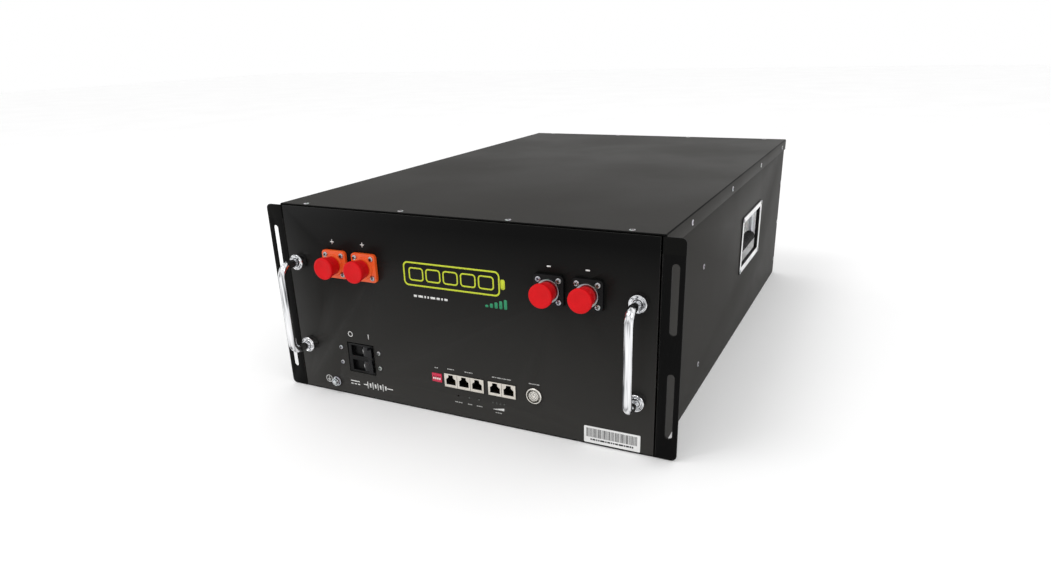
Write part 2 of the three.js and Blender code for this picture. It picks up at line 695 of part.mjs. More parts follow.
add('cell_row_left', cellRow(-1), finish(0x2c5fa8, 0.4, 0.1));
add('cell_row_right', cellRow(1), finish(0x2c5fa8, 0.4, 0.1));
add('cell_floor_sheet', box(
  -PACK_HALF_WIDTH, PACK_HALF_WIDTH, PACK_START_Y - 12, packEnd + 12, SHEET + GAP, PACK_BASE_Z - GAP,
), finish(0xd8c27a, 0.6, 0));
add('cell_row_spacer', box(
  -ROW_GAP / 2 + GAP, ROW_GAP / 2 - GAP, PACK_START_Y + 1, packEnd - 1, PACK_BASE_Z, packTop,
), finish(0xd8c27a, 0.6, 0));
add('end_plate_front', box(
  -PACK_HALF_WIDTH, PACK_HALF_WIDTH, PACK_START_Y - 10, PACK_START_Y - GAP, PACK_BASE_Z, packTop - 6,
), aluminium());
add('end_plate_rear', box(
  -PACK_HALF_WIDTH, PACK_HALF_WIDTH, packEnd + GAP, packEnd + 10, PACK_BASE_Z, packTop - 6,
), aluminium());
for (const [name, side] of [['left', -1], ['right', 1]]) {
  const near = side * (PACK_HALF_WIDTH + GAP);
  const far = near + side * 1.5;
  add(`tie_strap_${name}`, box(
    Math.min(near, far), Math.max(near, far), PACK_START_Y - 9, packEnd + 9, 90, 130,
  ), zinc());
}
add('cell_link_tray', box(
  -PACK_HALF_WIDTH + 8, PACK_HALF_WIDTH - 8, PACK_START_Y + 4, packEnd - 4, packTop + 3 + GAP, packTop + 6,
), finish(0x1a1a1a, 0.5, 0));

function heatSink() {
  const back = BULKHEAD_Y - 6;
  const plateBack = back - GAP;
  const fins = Array.from({ length: 9 }, (_, index) => {
    const x = -80 + index * 20;
    return box(x - 1.5, x + 1.5, plateBack - 24, plateBack - 3, 90, 195);
  });
  return joined([box(-90, 90, plateBack - 5, plateBack, 85, 200), ...fins]);
}

add('management_board', box(-110, 110, BULKHEAD_Y - 6, BULKHEAD_Y - 4.4, 70, 204), circuitBoard());
add('heat_sink', heatSink(), aluminium());

export default battery;
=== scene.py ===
"""Looks for a five-unit rack battery: coated steel case, sockets with dust caps, breaker,
data ports, switches, lights, chrome pull handles and recessed side handles.

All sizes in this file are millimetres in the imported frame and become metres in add_piece.
"""

import json

import bmesh
import bpy
import numpy as np
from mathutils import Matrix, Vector

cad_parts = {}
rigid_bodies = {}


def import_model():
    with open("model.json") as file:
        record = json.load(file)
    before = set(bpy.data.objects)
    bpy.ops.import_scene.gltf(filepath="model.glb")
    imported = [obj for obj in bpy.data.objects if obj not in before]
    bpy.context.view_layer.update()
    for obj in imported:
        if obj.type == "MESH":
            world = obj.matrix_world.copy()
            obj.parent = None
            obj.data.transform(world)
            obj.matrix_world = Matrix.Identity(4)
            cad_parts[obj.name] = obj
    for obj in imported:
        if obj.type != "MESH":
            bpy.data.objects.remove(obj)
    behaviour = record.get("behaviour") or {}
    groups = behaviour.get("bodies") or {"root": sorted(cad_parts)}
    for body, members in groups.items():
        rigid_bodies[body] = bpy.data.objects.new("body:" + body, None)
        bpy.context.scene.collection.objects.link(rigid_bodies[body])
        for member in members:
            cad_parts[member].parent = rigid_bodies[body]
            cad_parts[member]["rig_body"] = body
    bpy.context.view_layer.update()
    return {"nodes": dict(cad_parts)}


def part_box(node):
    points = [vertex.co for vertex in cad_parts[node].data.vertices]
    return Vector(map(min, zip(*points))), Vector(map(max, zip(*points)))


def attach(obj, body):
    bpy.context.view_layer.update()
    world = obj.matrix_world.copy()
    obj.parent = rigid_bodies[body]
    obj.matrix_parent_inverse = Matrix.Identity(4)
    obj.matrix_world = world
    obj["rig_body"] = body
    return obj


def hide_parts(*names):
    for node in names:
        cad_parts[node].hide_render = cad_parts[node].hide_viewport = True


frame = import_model()

MM = 0.001
SIDES = (("left", -1), ("right", 1))


def span(node):
    """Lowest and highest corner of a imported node, in millimetres."""
    low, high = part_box(node)
    return np.array(low) / MM, np.array(high) / MM


def middle(node):
    """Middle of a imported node's box, in millimetres."""
    low, high = span(node)
    return (low + high) / 2


PANEL_FACE = span("front_panel")[0][1]
WALL_X = 221.0
LID_X = span("lid")[1][0]
LID_TOP = span("lid")[1][2]
LID_LIP = span("lid")[0][2]


# ---------------------------------------------------------------- finishes


def tone(red, green, blue):
    """Display colour in 0 to 255 as scene-linear colour: the display curve undone."""
    share = np.array([red, green, blue]) / 255
    linear = np.where(share <= 0.04045, share / 12.92, ((share + 0.055) / 1.055) ** 2.4)
    return (*(float(value) for value in linear), 1.0)


class Finish:
    """A procedural finish around one principled shader, fed by patterns in object space."""

    def __init__(self, name, **sockets):
        self.material = bpy.data.materials.new(name)
        self.material.use_nodes = True
        self.tree = self.material.node_tree
        self.shader = self.tree.nodes["Principled BSDF"]
        for socket, value in sockets.items():
            self.shader.inputs[socket.replace("_", " ")].default_value = value
        self.place = self.add("ShaderNodeTexCoord").outputs["Object"]

    def add(self, kind, inputs=(), **settings):
        """A node with its settings, each input either wired or set."""
        node = self.tree.nodes.new(kind)
        for key, value in settings.items():
            setattr(node, key, value)
        for key, value in dict(inputs).items():
            if isinstance(value, bpy.types.NodeSocket):
                self.tree.links.new(value, node.inputs[key])
            else:
                node.inputs[key].default_value = value
        return node

    def placed(self, centre=(0, 0, 0), stretch=(1, 1, 1)):
        """Object coordinates measured from a centre in millimetres, then stretched."""
        moved = self.add(
            "ShaderNodeVectorMath",
            {0: self.place, 1: tuple(value * MM for value in centre)},
            operation="SUBTRACT",
        )
        return self.add(
            "ShaderNodeVectorMath", {0: moved.outputs[0], 1: stretch}, operation="MULTIPLY"
        ).outputs[0]

    def cloud(self, size, detail=2.0, place=None, roughness=0.5):
        """Noise from 0 to 1 whose blotches are about size millimetres across."""
        inputs = {
            "Vector": place or self.place,
            "Scale": 1 / (size * MM),
            "Detail": detail,
            "Roughness": roughness,
        }
        return self.add("ShaderNodeTexNoise", inputs).outputs["Fac"]

    def reach(self, source, low, high, start=0.35, stop=0.65):
        """The source's stretch from start to stop carried onto low to high."""
        inputs = {
            "Value": source,
            "From Min": start,
            "From Max": stop,
            "To Min": low,
            "To Max": high,
        }
        return self.add("ShaderNodeMapRange", inputs).outputs["Result"]

    def shades(self, source, stops):
        """Colours laid along the source, each stop a position and a colour."""
        ramp = self.add("ShaderNodeValToRGB", {"Fac": source})
        elements = ramp.color_ramp.elements
        elements[0].position, elements[0].color = stops[0]
        elements[1].position, elements[1].color = stops[-1]
        for position, colour in stops[1:-1]:
            elements.new(position).color = colour
        return ramp.outputs["Color"]

    def mixed(self, share, first, second, blend="MIX"):
        """Two colours mixed by a share."""
        inputs = {"Factor": share, "A": first, "B": second}
        node = self.add("ShaderNodeMix", data_type="RGBA", blend_type=blend)
        for key, value in inputs.items():
            socket = next(s for s in node.inputs if s.name == key and s.enabled)
            if isinstance(value, bpy.types.NodeSocket):
                self.tree.links.new(value, socket)
            else:
                socket.default_value = value
        return next(s for s in node.outputs if s.enabled)

    def relief(self, *layers):
        """Bumps stacked on the shader's normal, each a source and its height in millimetres."""
        normal = None
        for source, height in layers:
            inputs = {"Height": source, "Distance": height * MM, "Strength": 1.0}
            if normal:
                inputs["Normal"] = normal
            normal = self.add("ShaderNodeBump", inputs).outputs["Normal"]
        self.tree.links.new(normal, self.shader.inputs["Normal"])

    def feed(self, **sockets):
        """Wires sources into the shader's named sockets."""
        for socket, source in sockets.items():
            self.tree.links.new(source, self.shader.inputs[socket.replace("_", " ")])
        return self.material


def powder_coat(name, dark, light, roughness, shine, paling, shade_line=None):
    """Baked powder on sheet steel: fine orange peel, handling clouds, rubbed edges.

    The front 3 mm of the case turn into the smoother black of the panel, which is painted paler
    towards the bottom as far as the paling share allows, a painted reflection of the floor. A shade
    line (x, z) is painted shade beyond that distance from the middle and above that height.
    """
    finish = Finish(name)
    peel = finish.cloud(1.6, 2)
    speck = finish.cloud(0.45, 1)
    handled = finish.cloud(170, 4)
    spot = finish.add("ShaderNodeSeparateXYZ", {0: finish.place})
    base = finish.shades(handled, [(0.3, dark), (0.7, light)])
    flecked = finish.mixed(finish.reach(speck, 0, 0.22, 0.55, 0.75), base, tone(70, 69, 67))
    corner = finish.add("ShaderNodeBevel", {"Radius": 0.9 * MM}, samples=4).outputs[0]
    facing = finish.add("ShaderNodeNewGeometry").outputs["Normal"]
    square = finish.add("ShaderNodeVectorMath", {0: corner, 1: facing}, operation="DOT_PRODUCT")
    edge = finish.reach(square.outputs["Value"], 0.45, 0.0, 0.80, 0.985)
    rubbed = finish.add("ShaderNodeMath", {0: edge, 1: finish.cloud(9, 3)}, operation="MULTIPLY")
    # painted light: the panel's black grows paler towards the bottom, standing in for the floor's
    # reflection
    painted_floor_glow = finish.reach(spot.outputs["Z"], paling, 0.0, 0.0, 0.21)
    black = finish.shades(handled, [(0.3, tone(3, 3, 3)), (0.7, tone(6, 6, 6))])
    panel_black_painted_paler = finish.mixed(painted_floor_glow, black, tone(60, 59, 57))
    near, far = (PANEL_FACE + 2.6) * MM, (PANEL_FACE + 3.2) * MM
    ahead = finish.reach(spot.outputs["Y"], 1, 0, near, far)
    colour = finish.mixed(ahead, flecked, panel_black_painted_paler)
    worn = finish.mixed(rubbed.outputs[0], colour, tone(112, 111, 108))
    # painted shade: a dark line along the lid's fold and a shadow band under its lip
    if shade_line:
        wide = finish.add("ShaderNodeMath", {0: spot.outputs["X"]}, operation="ABSOLUTE")
        beyond = finish.reach(wide.outputs[0], 0, 1, shade_line[0] * MM, (shade_line[0] + 0.3) * MM)
        above = finish.reach(spot.outputs["Z"], 0, 1, shade_line[1] * MM, (shade_line[1] + 0.3) * MM)
        painted_crease_shade = finish.add("ShaderNodeMath", {0: beyond, 1: above}, operation="MULTIPLY")
        worn = finish.mixed(painted_crease_shade.outputs[0], worn, tone(9, 9, 8))
    finish.relief((peel, 0.03), (speck, 0.01))
    return finish.feed(
        Base_Color=worn,
        Roughness=finish.reach(handled, roughness - 0.05, roughness + 0.06),
        Specular_IOR_Level=finish.reach(ahead, shine, 0.07, 0, 1),
    )


def zinc_plating(name, colour, roughness, metal=1.0):
    """Bright zinc on steel: slow colour drift, faint spangle and long pulled scratches."""
    finish = Finish(name, Metallic=metal)
    drift = finish.cloud(30, 3)
    scratch = finish.cloud(1.2, 2, finish.placed(stretch=(0.15, 0.15, 3)))
    cell = finish.add(
        "ShaderNodeTexVoronoi", {"Vector": finish.place, "Scale": 1 / (4 * MM)}
    ).outputs["Color"]
    base = finish.shades(drift, [(0.3, tone(*colour)), (0.7, tone(*(v * 0.86 for v in colour)))])
    finish.relief((scratch, 0.004))
    return finish.feed(
        Base_Color=finish.mixed(0.05, base, cell),
        Roughness=finish.reach(drift, roughness - 0.06, roughness + 0.08),
    )


def chrome_plating(name, stretch):
    """Mirror chrome on pulled bar: waviness, finger marks, fine ridges, grey streaks painted in as
    reflections.
    """
    finish = Finish(name, Metallic=1.0)
    marks = finish.cloud(14, 4)
    wave = finish.cloud(9, 2)
    drawn_lines_and_reflections = finish.cloud(2.6, 2, finish.placed(stretch=stretch))
    # painted reflection: light and dark grey streaks along the bar stand in for the room reflected in
    # the chrome; on the ferrules they are blotches
    stops = [(0.3, tone(250, 250, 251)), (0.5, tone(226, 227, 229)), (0.68, tone(92, 93, 96))]
    base = finish.shades(drawn_lines_and_reflections, stops)
    finish.relief((wave, 0.12), (drawn_lines_and_reflections, 0.05))
    return finish.feed(Base_Color=base, Roughness=finish.reach(marks, 0.03, 0.1))


def turned_steel(name, centre):
    """Stainless faced on a lathe: fine rings about the centre on the panel."""
    finish = Finish(name, Metallic=1.0)
    rings = finish.add(
        "ShaderNodeTexWave",
        {"Vector": finish.placed(centre), "Scale": 420.0, "Distortion": 0.6, "Detail": 2.0},
        wave_type="RINGS",
        rings_direction="Y",
    ).outputs["Fac"]
    drift = finish.cloud(5, 3)
    base = finish.shades(drift, [(0.3, tone(240, 237, 230)), (0.7, tone(218, 215, 208))])
    finish.relief((rings, 0.006))
    return finish.feed(Base_Color=base, Roughness=finish.reach(rings, 0.18, 0.34, 0, 1))


def moulded(name, dark, light, roughness, grain=0.5, height=0.012, **sockets):
    """Moulded plastic: spark-eroded grain, flow clouds in colour and gloss."""
    finish = Finish(name, **sockets)
    flow = finish.cloud(11, 3)
    spark = finish.cloud(grain, 2)
    finish.relief((spark, height))
    return finish.feed(
        Base_Color=finish.shades(flow, [(0.3, tone(*dark)), (0.7, tone(*light))]),
        Roughness=finish.reach(flow, roughness - 0.05, roughness + 0.07),
    )


def port_plastic(name, face):
    """Ivory front of a data jack, painted near-black behind its front face as shade deep in its
    mouths.
    """
    finish = Finish(name)
    flow = finish.cloud(7, 3)
    ivory = finish.shades(flow, [(0.3, tone(196, 190, 180)), (0.7, tone(214, 209, 200))])
    depth = finish.add("ShaderNodeSeparateXYZ", {0: finish.place}).outputs["Y"]
    # painted shade: everything deeper than the front face turns near-black
    inside = finish.reach(depth, 0, 1, (face + 0.3) * MM, (face + 0.5) * MM)
    finish.relief((finish.cloud(0.4, 2), 0.008))
    return finish.feed(
        Base_Color=finish.mixed(inside, ivory, tone(6, 6, 7)),
        Roughness=finish.reach(flow, 0.38, 0.52),
    )


def ink(name, colour):
    """Screen-printed ink: slightly uneven cover with a fine stipple."""
    finish = Finish(name)
    cover = finish.cloud(2.2, 3)
    paler = tone(*(value * 0.9 for value in colour))
    finish.relief((finish.cloud(0.5, 2), 0.006))
    return finish.feed(
        Base_Color=finish.shades(cover, [(0.3, paler), (0.65, tone(*colour))]),
        Roughness=finish.reach(cover, 0.42, 0.6),
    )


def circuit_board(name):
    """Green mask over copper: a fine net of traces seen as lighter lines."""
    finish = Finish(name, Coat_Weight=0.3, Coat_Roughness=0.2)
    brick = finish.add(
        "ShaderNodeTexBrick",
        {
            "Vector": finish.place,
            "Scale": 1 / (8 * MM),
            "Mortar Size": 0.04,
            "Color1": tone(16, 62, 36),
            "Color2": tone(20, 72, 41),
            "Mortar": tone(60, 120, 70),
        },
    )
    finish.relief((brick.outputs["Fac"], 0.03))
    return finish.feed(
        Base_Color=brick.outputs["Color"], Roughness=finish.reach(finish.cloud(12), 0.35, 0.5)
    )


def ribbed_rubber(name):
    """Dark soft rubber with a fine matt skin and lightly dusted patches."""
    finish = Finish(name, Specular_IOR_Level=0.15)
    paling = finish.cloud(9, 4)
    finish.relief((finish.cloud(0.6, 2), 0.02))
    return finish.feed(
        Base_Color=finish.shades(paling, [(0.35, tone(19, 19, 20)), (0.7, tone(30, 30, 30))]),
        Roughness=finish.reach(paling, 0.62, 0.8),
    )


def studio_floor(name):
    """Pale matt floor with a very faint mottling."""
    finish = Finish(name, Specular_IOR_Level=0.2)
    mottle = finish.cloud(300, 3)
    shades = finish.shades(mottle, [(0.3, tone(251, 251, 251)), (0.7, tone(254, 254, 254))])
    return finish.feed(Base_Color=shades, Roughness=finish.reach(mottle, 0.8, 0.9))


POWER_CENTRE = (middle("power_button_housing")[0], PANEL_FACE, middle("power_button_housing")[2])
CASE_LOOK = (tone(47, 46, 44), tone(53, 52, 50), 0.52, 0.03, 0.0)
COATS = {
    # the case gets a painted shadow band under the lid's lip, and the lid a painted shade line along
    # its fold
    "case": powder_coat("case_powder", *CASE_LOOK, (0.0, LID_LIP - 1.5)),
    "lid": powder_coat("lid_powder", *CASE_LOOK, (LID_X - 1.5, LID_TOP - 1.4)),
    "plain": powder_coat("plain_powder", *CASE_LOOK),
    # the panel's 0.8 is its share of painted paling towards the bottom, a painted reflection of the
    # floor
    "panel": powder_coat("panel_powder", tone(7, 7, 7), tone(9, 9, 9), 0.34, 0.07, 0.8),
}
ZINC = zinc_plating("zinc_plate", (205, 208, 212), 0.28)
# pressed zinc whose near-white, half-metallic look is painted brightness standing in for the bright
# reflections in the recess
DISH_ZINC_PAINTED_BRIGHT = zinc_plating("pressed_zinc_painted_bright", (250, 250, 250), 0.42, 0.35)
SCREW_STEEL = zinc_plating("screw_steel", (178, 179, 182), 0.28)
RING_CHROME = zinc_plating("ring_chrome", (150, 150, 153), 0.16)
RECESS_SHADE = zinc_plating("recess_shade", (74, 74, 76), 0.5)
CHROME = chrome_plating("handle_chrome", (1.0, 1.0, 0.05))
FERRULE_CHROME = chrome_plating("ferrule_chrome", (0.8, 0.8, 0.8))
BUTTON_STEEL = turned_steel("button_steel", POWER_CENTRE)
ORANGE = moulded("orange_moulding", (222, 78, 20), (232, 92, 30), 0.38)
SOCKET_BLACK = moulded(
    "black_moulding", (9, 9, 10), (15, 15, 16), 0.42, Specular_IOR_Level=0.14
)
RED_VINYL = moulded(
    "red_vinyl", (196, 8, 16), (207, 15, 23), 0.5, 0.9, 0.02, Specular_IOR_Level=0.14
)
BREAKER_BLACK = moulded(
    "breaker_moulding", (9, 9, 10), (15, 15, 16), 0.4, 0.4, Specular_IOR_Level=0.16
)
LEVER_BLACK = moulded(
    "lever_moulding", (20, 20, 22), (27, 27, 29), 0.3, 0.4, Specular_IOR_Level=0.3
)
IVORY = port_plastic("port_ivory", PANEL_FACE - 1.2)
SWITCH_PINK = moulded("switch_pink", (190, 24, 62), (204, 34, 74), 0.4)
SLIDER_WHITE = moulded("slider_white", (236, 234, 230), (246, 245, 242), 0.4, 0.3, 0.006)
LIGHT_SMOKE = moulded(
    "light_smoke", (34, 37, 33), (52, 55, 50), 0.16, 0.6, 0.002, Coat_Weight=0.5
)
LABEL_FILM = moulded("label_film", (222, 222, 221), (232, 232, 231), 0.5, 0.8, 0.004)
WHITE_INK = ink("white_ink", (226, 226, 224))
GREY_INK = ink("grey_ink", (176, 176, 174))
LIME_INK = ink("lime_ink", (196, 208, 30))
GREEN_INK = ink("green_ink", (18, 138, 92))
BLACK_INK = ink("black_ink", (22, 22, 24))
GRIP_RUBBER = ribbed_rubber("grip_rubber")
BOARD_GREEN = circuit_board("board_green")
ALUMINIUM = zinc_plating("brushed_aluminium", (190, 194, 198), 0.4)
COPPER = zinc_plating("bar_copper", (206, 130, 82), 0.32)
CONTACT_GOLD = zinc_plating("contact_gold", (112, 88, 44), 0.3)
CELL_FILM = moulded("cell_film", (28, 82, 158), (38, 98, 180), 0.34, 3.0, 0.03)
INSULATION = moulded("epoxy_sheet", (206, 180, 96), (222, 198, 118), 0.5, 1.2, 0.03)
TRAY_BLACK = moulded("tray_black", (18, 18, 18), (28, 28, 28), 0.5)


# ---------------------------------------------------------------- mesh making


def add_piece(name, points, faces, finishes, body, kinds=None, crease=38):
    """Mesh from millimetre points and face lists, doubled points joined, set on its body."""
    mesh = bpy.data.meshes.new(name)
    mesh.from_pydata((np.asarray(points, float) * MM).tolist(), [], [list(f) for f in faces])
    finishes = finishes if isinstance(finishes, (list, tuple)) else [finishes]
    for finish in finishes:
        mesh.materials.append(finish)
    if kinds is not None:
        mesh.polygons.foreach_set("material_index", np.asarray(kinds, np.int32))
    work = bmesh.new()
    work.from_mesh(mesh)
    bmesh.ops.remove_doubles(work, verts=work.verts, dist=0.002 * MM)
    work.to_mesh(mesh)
    work.free()
    mesh.polygons.foreach_set("use_smooth", np.ones(len(mesh.polygons), bool))
    mesh.set_sharp_from_angle(angle=np.radians(crease))
    piece = bpy.data.objects.new(name, mesh)
    bpy.context.scene.collection.objects.link(piece)
    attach(piece, body)
    return piece


def ring_faces(rows, columns):
    """Quads between successive rows of a grid whose last column meets its first."""
    row = np.arange(rows - 1)[:, None] * columns
    column = np.arange(columns)[None, :]
    following = (column + 1) % columns
    corners = [row + column, row + columns + column, row + columns + following, row + following]
    return np.stack(corners, -1).reshape(-1, 4)


def axes_for(front):
    """Across, up and front unit vectors, with across x up = front."""
    front = np.asarray(front, float)
    up = np.array([0.0, 1.0, 0.0]) if abs(front[2]) > 0.9 else np.array([0.0, 0.0, 1.0])
    return np.cross(up, front), up, front


def ring_piece(name, flat, heights, centre, front, finishes, body, bands=None, crease=38):
    """Surface through rings: ring i is an outline (across, up) at heights[i] along front.

    Point(i, j) = centre + across * flat[i, j, 0] + up * flat[i, j, 1] + front * heights[i].
    Rings run from the front inwards to the back, which keeps the faces turned outwards.
    """
    across, up, front = axes_for(front)
    flat = np.asarray(flat, float)
    rise = np.asarray(heights, float)[:, None, None]
    points = centre + across * flat[..., :1] + up * flat[..., 1:] + front * rise
    rows, columns = flat.shape[:2]
    kinds = None if bands is None else np.repeat(bands, columns)
    faces = ring_faces(rows, columns)
    return add_piece(name, points.reshape(-1, 3), faces, finishes, body, kinds, crease)


def turned_piece(
    name, profile, centre, front, finishes, body, bands=None, sides=48, crease=38
):
    """Profile of (radius, height) points turned about the front axis through the centre."""
    profile = np.asarray(profile, float)
    angle = np.arange(sides) * 2 * np.pi / sides
    circle = np.stack([np.cos(angle), np.sin(angle)], -1)
    flat = profile[:, 0, None, None] * circle[None]
    return ring_piece(
        name, flat, profile[:, 1], centre, front, finishes, body, bands, crease
    )


def outline(half_wide, half_high, corner, per_corner=10):
    """Rounded rectangle: four quarter circles of one radius joined by straight sides."""
    turn = np.linspace(0, np.pi / 2, per_corner)
    angle = (turn[None] + np.arange(4)[:, None] * np.pi / 2).ravel()
    side_x = np.repeat([1, -1, -1, 1], per_corner) * (half_wide - corner)
    side_z = np.repeat([1, 1, -1, -1], per_corner) * (half_high - corner)
    return np.stack([side_x + corner * np.cos(angle), side_z + corner * np.sin(angle)], -1)


def round_hole(radius, per_corner=10):
    """Circle sampled as outline() samples its corners."""
    return outline(radius, radius, radius, per_corner)


def softened(corners, amounts, steps=3):
    """Profile whose corners are replaced by quadratic curves that start amounts away."""
    corners = np.asarray(corners, float)
    share = np.linspace(0, 1, steps + 1)[:, None]
    parts = [corners[:1]]
    for before, corner, after, amount in zip(corners, corners[1:], corners[2:], amounts):
        into = corner + (before - corner) / np.linalg.norm(before - corner) * amount
        away = corner + (after - corner) / np.linalg.norm(after - corner) * amount
        parts.append((1 - share) ** 2 * into + 2 * share * (1 - share) * corner + share**2 * away)
    return np.concatenate([*parts, corners[-1:]])


def bent_line(corners, bend, steps=10):
    """Plane line through corners, each rounded by a circular arc of radius bend."""
    corners = np.asarray(corners, float)
    parts = [corners[:1]]
    for before, corner, after in zip(corners, corners[1:], corners[2:]):
        back = (before - corner) / np.linalg.norm(before - corner)
        ahead = (after - corner) / np.linalg.norm(after - corner)
        half = np.arccos(np.clip(back @ ahead, -1, 1)) / 2
        heart = corner + (back + ahead) / np.linalg.norm(back + ahead) * bend / np.sin(half)
        start = corner + back * bend / np.tan(half) - heart
        stop = corner + ahead * bend / np.tan(half) - heart
        sweep = np.pi - 2 * half
        share = np.linspace(0, 1, steps + 1)[:, None]
        arc = np.sin((1 - share) * sweep) * start + np.sin(share * sweep) * stop
        parts.append(heart + arc / np.sin(sweep))
    return np.concatenate([*parts, corners[-1:]])


def bar_piece(name, line, radius, origin, along, rising, finish, body, sides=24):
    """Round bar carried along a plane line.

    Point(s, t) = line(s) + radius (cos t n + sin t b), with b the plane's normal and n = T x b
    for the line's direction T. The ends close on the line's own end points.
    """
    along = np.asarray(along, float)
    rising = np.asarray(rising, float)
    side = np.cross(along, rising)
    track = origin + line[:, :1] * along + line[:, 1:] * rising
    heading = np.gradient(track, axis=0)
    heading /= np.linalg.norm(heading, axis=1)[:, None]
    heading[0] = (track[1] - track[0]) / np.linalg.norm(track[1] - track[0])
    heading[-1] = (track[-1] - track[-2]) / np.linalg.norm(track[-1] - track[-2])
    normal = np.cross(heading, side)
    angle = np.arange(sides) * 2 * np.pi / sides
    ring = np.cos(angle)[None, :, None] * normal[:, None] + np.sin(angle)[None, :, None] * side
    skin = track[:, None] + radius * ring
    ends = np.repeat(track[[0, -1]][:, None], sides, 1)
    points = np.concatenate([ends[:1], skin, ends[1:]])
    faces = ring_faces(len(points), sides)
    return add_piece(name, points.reshape(-1, 3), faces, finish, body)


def pan_screws(name, centres, front, radius, height, body="case", finish=SCREW_STEEL):
    """Low domed screw heads with a shaded cross recess, one per centre.

    The recess edge is at r(t) = max(min(L/|cos t|, w/|sin t|), min(L/|sin t|, w/|cos t|));
    outside it the head is a shallow dome h = H (1 - 0.35 (r/R)^2) that rolls over at the rim.
    """
    sides = 32
    angle = np.arange(sides) * 2 * np.pi / sides
    cosine = np.abs(np.cos(angle)) + 1e-9
    sine = np.abs(np.sin(angle)) + 1e-9
    length, width = 0.6 * radius, 0.19 * radius
    recess = np.maximum(
        np.minimum(length / cosine, width / sine), np.minimum(length / sine, width / cosine)
    )
    shoulder = 0.86 * radius
    slope = (recess + shoulder) / 2

    def dome(r):
        return height * (1 - 0.35 * (r / radius) ** 2)

    steps = [
        (0, 0.2 * height),
        (0.45 * recess, 0.22 * height),
        (0.86 * recess, 0.3 * height),
        (recess, dome(recess)),
        (slope, dome(slope)),
        (shoulder, dome(shoulder)),
        (0.97 * radius, 0.5 * height),
        (radius, 0.28 * height),
        (radius, -0.05),
        (0, -0.05),
    ]
    reach = np.array([np.broadcast_to(step[0], sides) for step in steps])
    rise = np.array([np.broadcast_to(step[1], sides) for step in steps])
    across, up, front = axes_for(front)
    centres = np.asarray(centres, float)
    turn = (np.arange(len(centres)) * 0.83 + 0.3)[:, None, None]
    east = reach * np.cos(angle + turn)
    north = reach * np.sin(angle + turn)
    points = (
        centres[:, None, None]
        + east[..., None] * across
        + north[..., None] * up
        + rise[None, ..., None] * front
    )
    one = ring_faces(len(steps), sides)
    faces = (one[None] + np.arange(len(centres))[:, None, None] * reach.size).reshape(-1, 4)
    in_recess = np.arange(len(steps) - 1) < 3
    kinds = np.tile(np.repeat(in_recess.astype(int), sides), len(centres))
    coats = [finish, RECESS_SHADE]
    return add_piece(name, points.reshape(-1, 3), faces, coats, body, kinds)


def eased(node, finish, width=0.3, steps=2):
    """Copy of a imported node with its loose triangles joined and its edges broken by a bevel."""
    source = frame["nodes"][node]
    mesh = bpy.data.meshes.new(node + "_eased")
    work = bmesh.new()
    work.from_mesh(source.data)
    bmesh.ops.remove_doubles(work, verts=work.verts, dist=0.002 * MM)
    bmesh.ops.dissolve_limit(
        work, angle_limit=np.radians(0.6), verts=work.verts, edges=work.edges
    )
    work.to_mesh(mesh)
    work.free()
    mesh.materials.clear()
    mesh.materials.append(finish)
    mesh.polygons.foreach_set("material_index", np.zeros(len(mesh.polygons), np.int32))
    mesh.polygons.foreach_set("use_smooth", np.ones(len(mesh.polygons), bool))
    piece = bpy.data.objects.new(node + "_eased", mesh)
    bpy.context.scene.collection.objects.link(piece)
    bevel = piece.modifiers.new("broken_edges", "BEVEL")
    bevel.width = width * MM
    bevel.segments = steps
    bevel.limit_method = "ANGLE"
    bevel.angle_limit = np.radians(38)
    bevel.harden_normals = True
    bevel.use_clamp_overlap = True
    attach(piece, source["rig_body"])
    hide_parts(node)
    return piece


# ---------------------------------------------------------------- printed marks


def band(points, width, closed=False):
    """Ribbon along a line: each point moved half the width along the mitred side normal."""
    points = np.asarray(points, float)
    if closed:
        before, after = np.roll(points, 1, 0), np.roll(points, -1, 0)
    else:
        before, after = points.copy(), points.copy()
        before[1:], after[:-1] = points[:-1], points[1:]
        before[0], after[-1] = 2 * points[0] - points[1], 2 * points[-1] - points[-2]
    into = (points - before) / np.linalg.norm(points - before, axis=1)[:, None]
    away = (after - points) / np.linalg.norm(after - points, axis=1)[:, None]
    side_in = np.stack([-into[:, 1], into[:, 0]], -1)
    side_out = np.stack([-away[:, 1], away[:, 0]], -1)
    mitre = (side_in + side_out) / (1 + (side_in * side_out).sum(1))[:, None]
    count = len(points)
    corners = np.concatenate([points - mitre * width / 2, points + mitre * width / 2])
    start = np.arange(count if closed else count - 1)
    stop = (start + 1) % count
    return corners, np.stack([start, stop, stop + count, start + count], -1).tolist()


def polygon(points):
    """One flat face through points given anticlockwise."""
    return np.asarray(points, float), [list(range(len(points)))]


def block(x0, x1, z0, z1, corner=0.0):
    """Filled rectangle, its corners rounded when a radius is given."""
    if not corner:
        return polygon([(x0, z0), (x1, z0), (x1, z1), (x0, z1)])
    shape = outline((x1 - x0) / 2, (z1 - z0) / 2, corner, 5)
    return polygon(shape + [(x0 + x1) / 2, (z0 + z1) / 2])


def arc_line(centre, radius, start, stop, count=24):
    """Points of a circular arc between two angles in degrees."""
    angle = np.radians(np.linspace(start, stop, count))
    return np.stack([centre[0] + radius * np.cos(angle), centre[1] + radius * np.sin(angle)], -1)


def ring_line(centre, radius, count=36):
    """Points of a whole circle for a closed band."""
    return arc_line(centre, radius, 0, 360 - 360 / count, count)


def dashes(x0, x1, z, height, widths, gap=0.7):
    """A row of short bars of the given relative widths that fills x0 to x1."""
    widths = np.asarray(widths, float)
    scale = (x1 - x0 - gap * (len(widths) - 1)) / widths.sum()
    stops = x0 + np.cumsum(widths * scale + gap)
    starts = stops - widths * scale - gap
    return [
        block(a, b - gap, z - height / 2, z + height / 2) for a, b in zip(starts, stops)
    ]


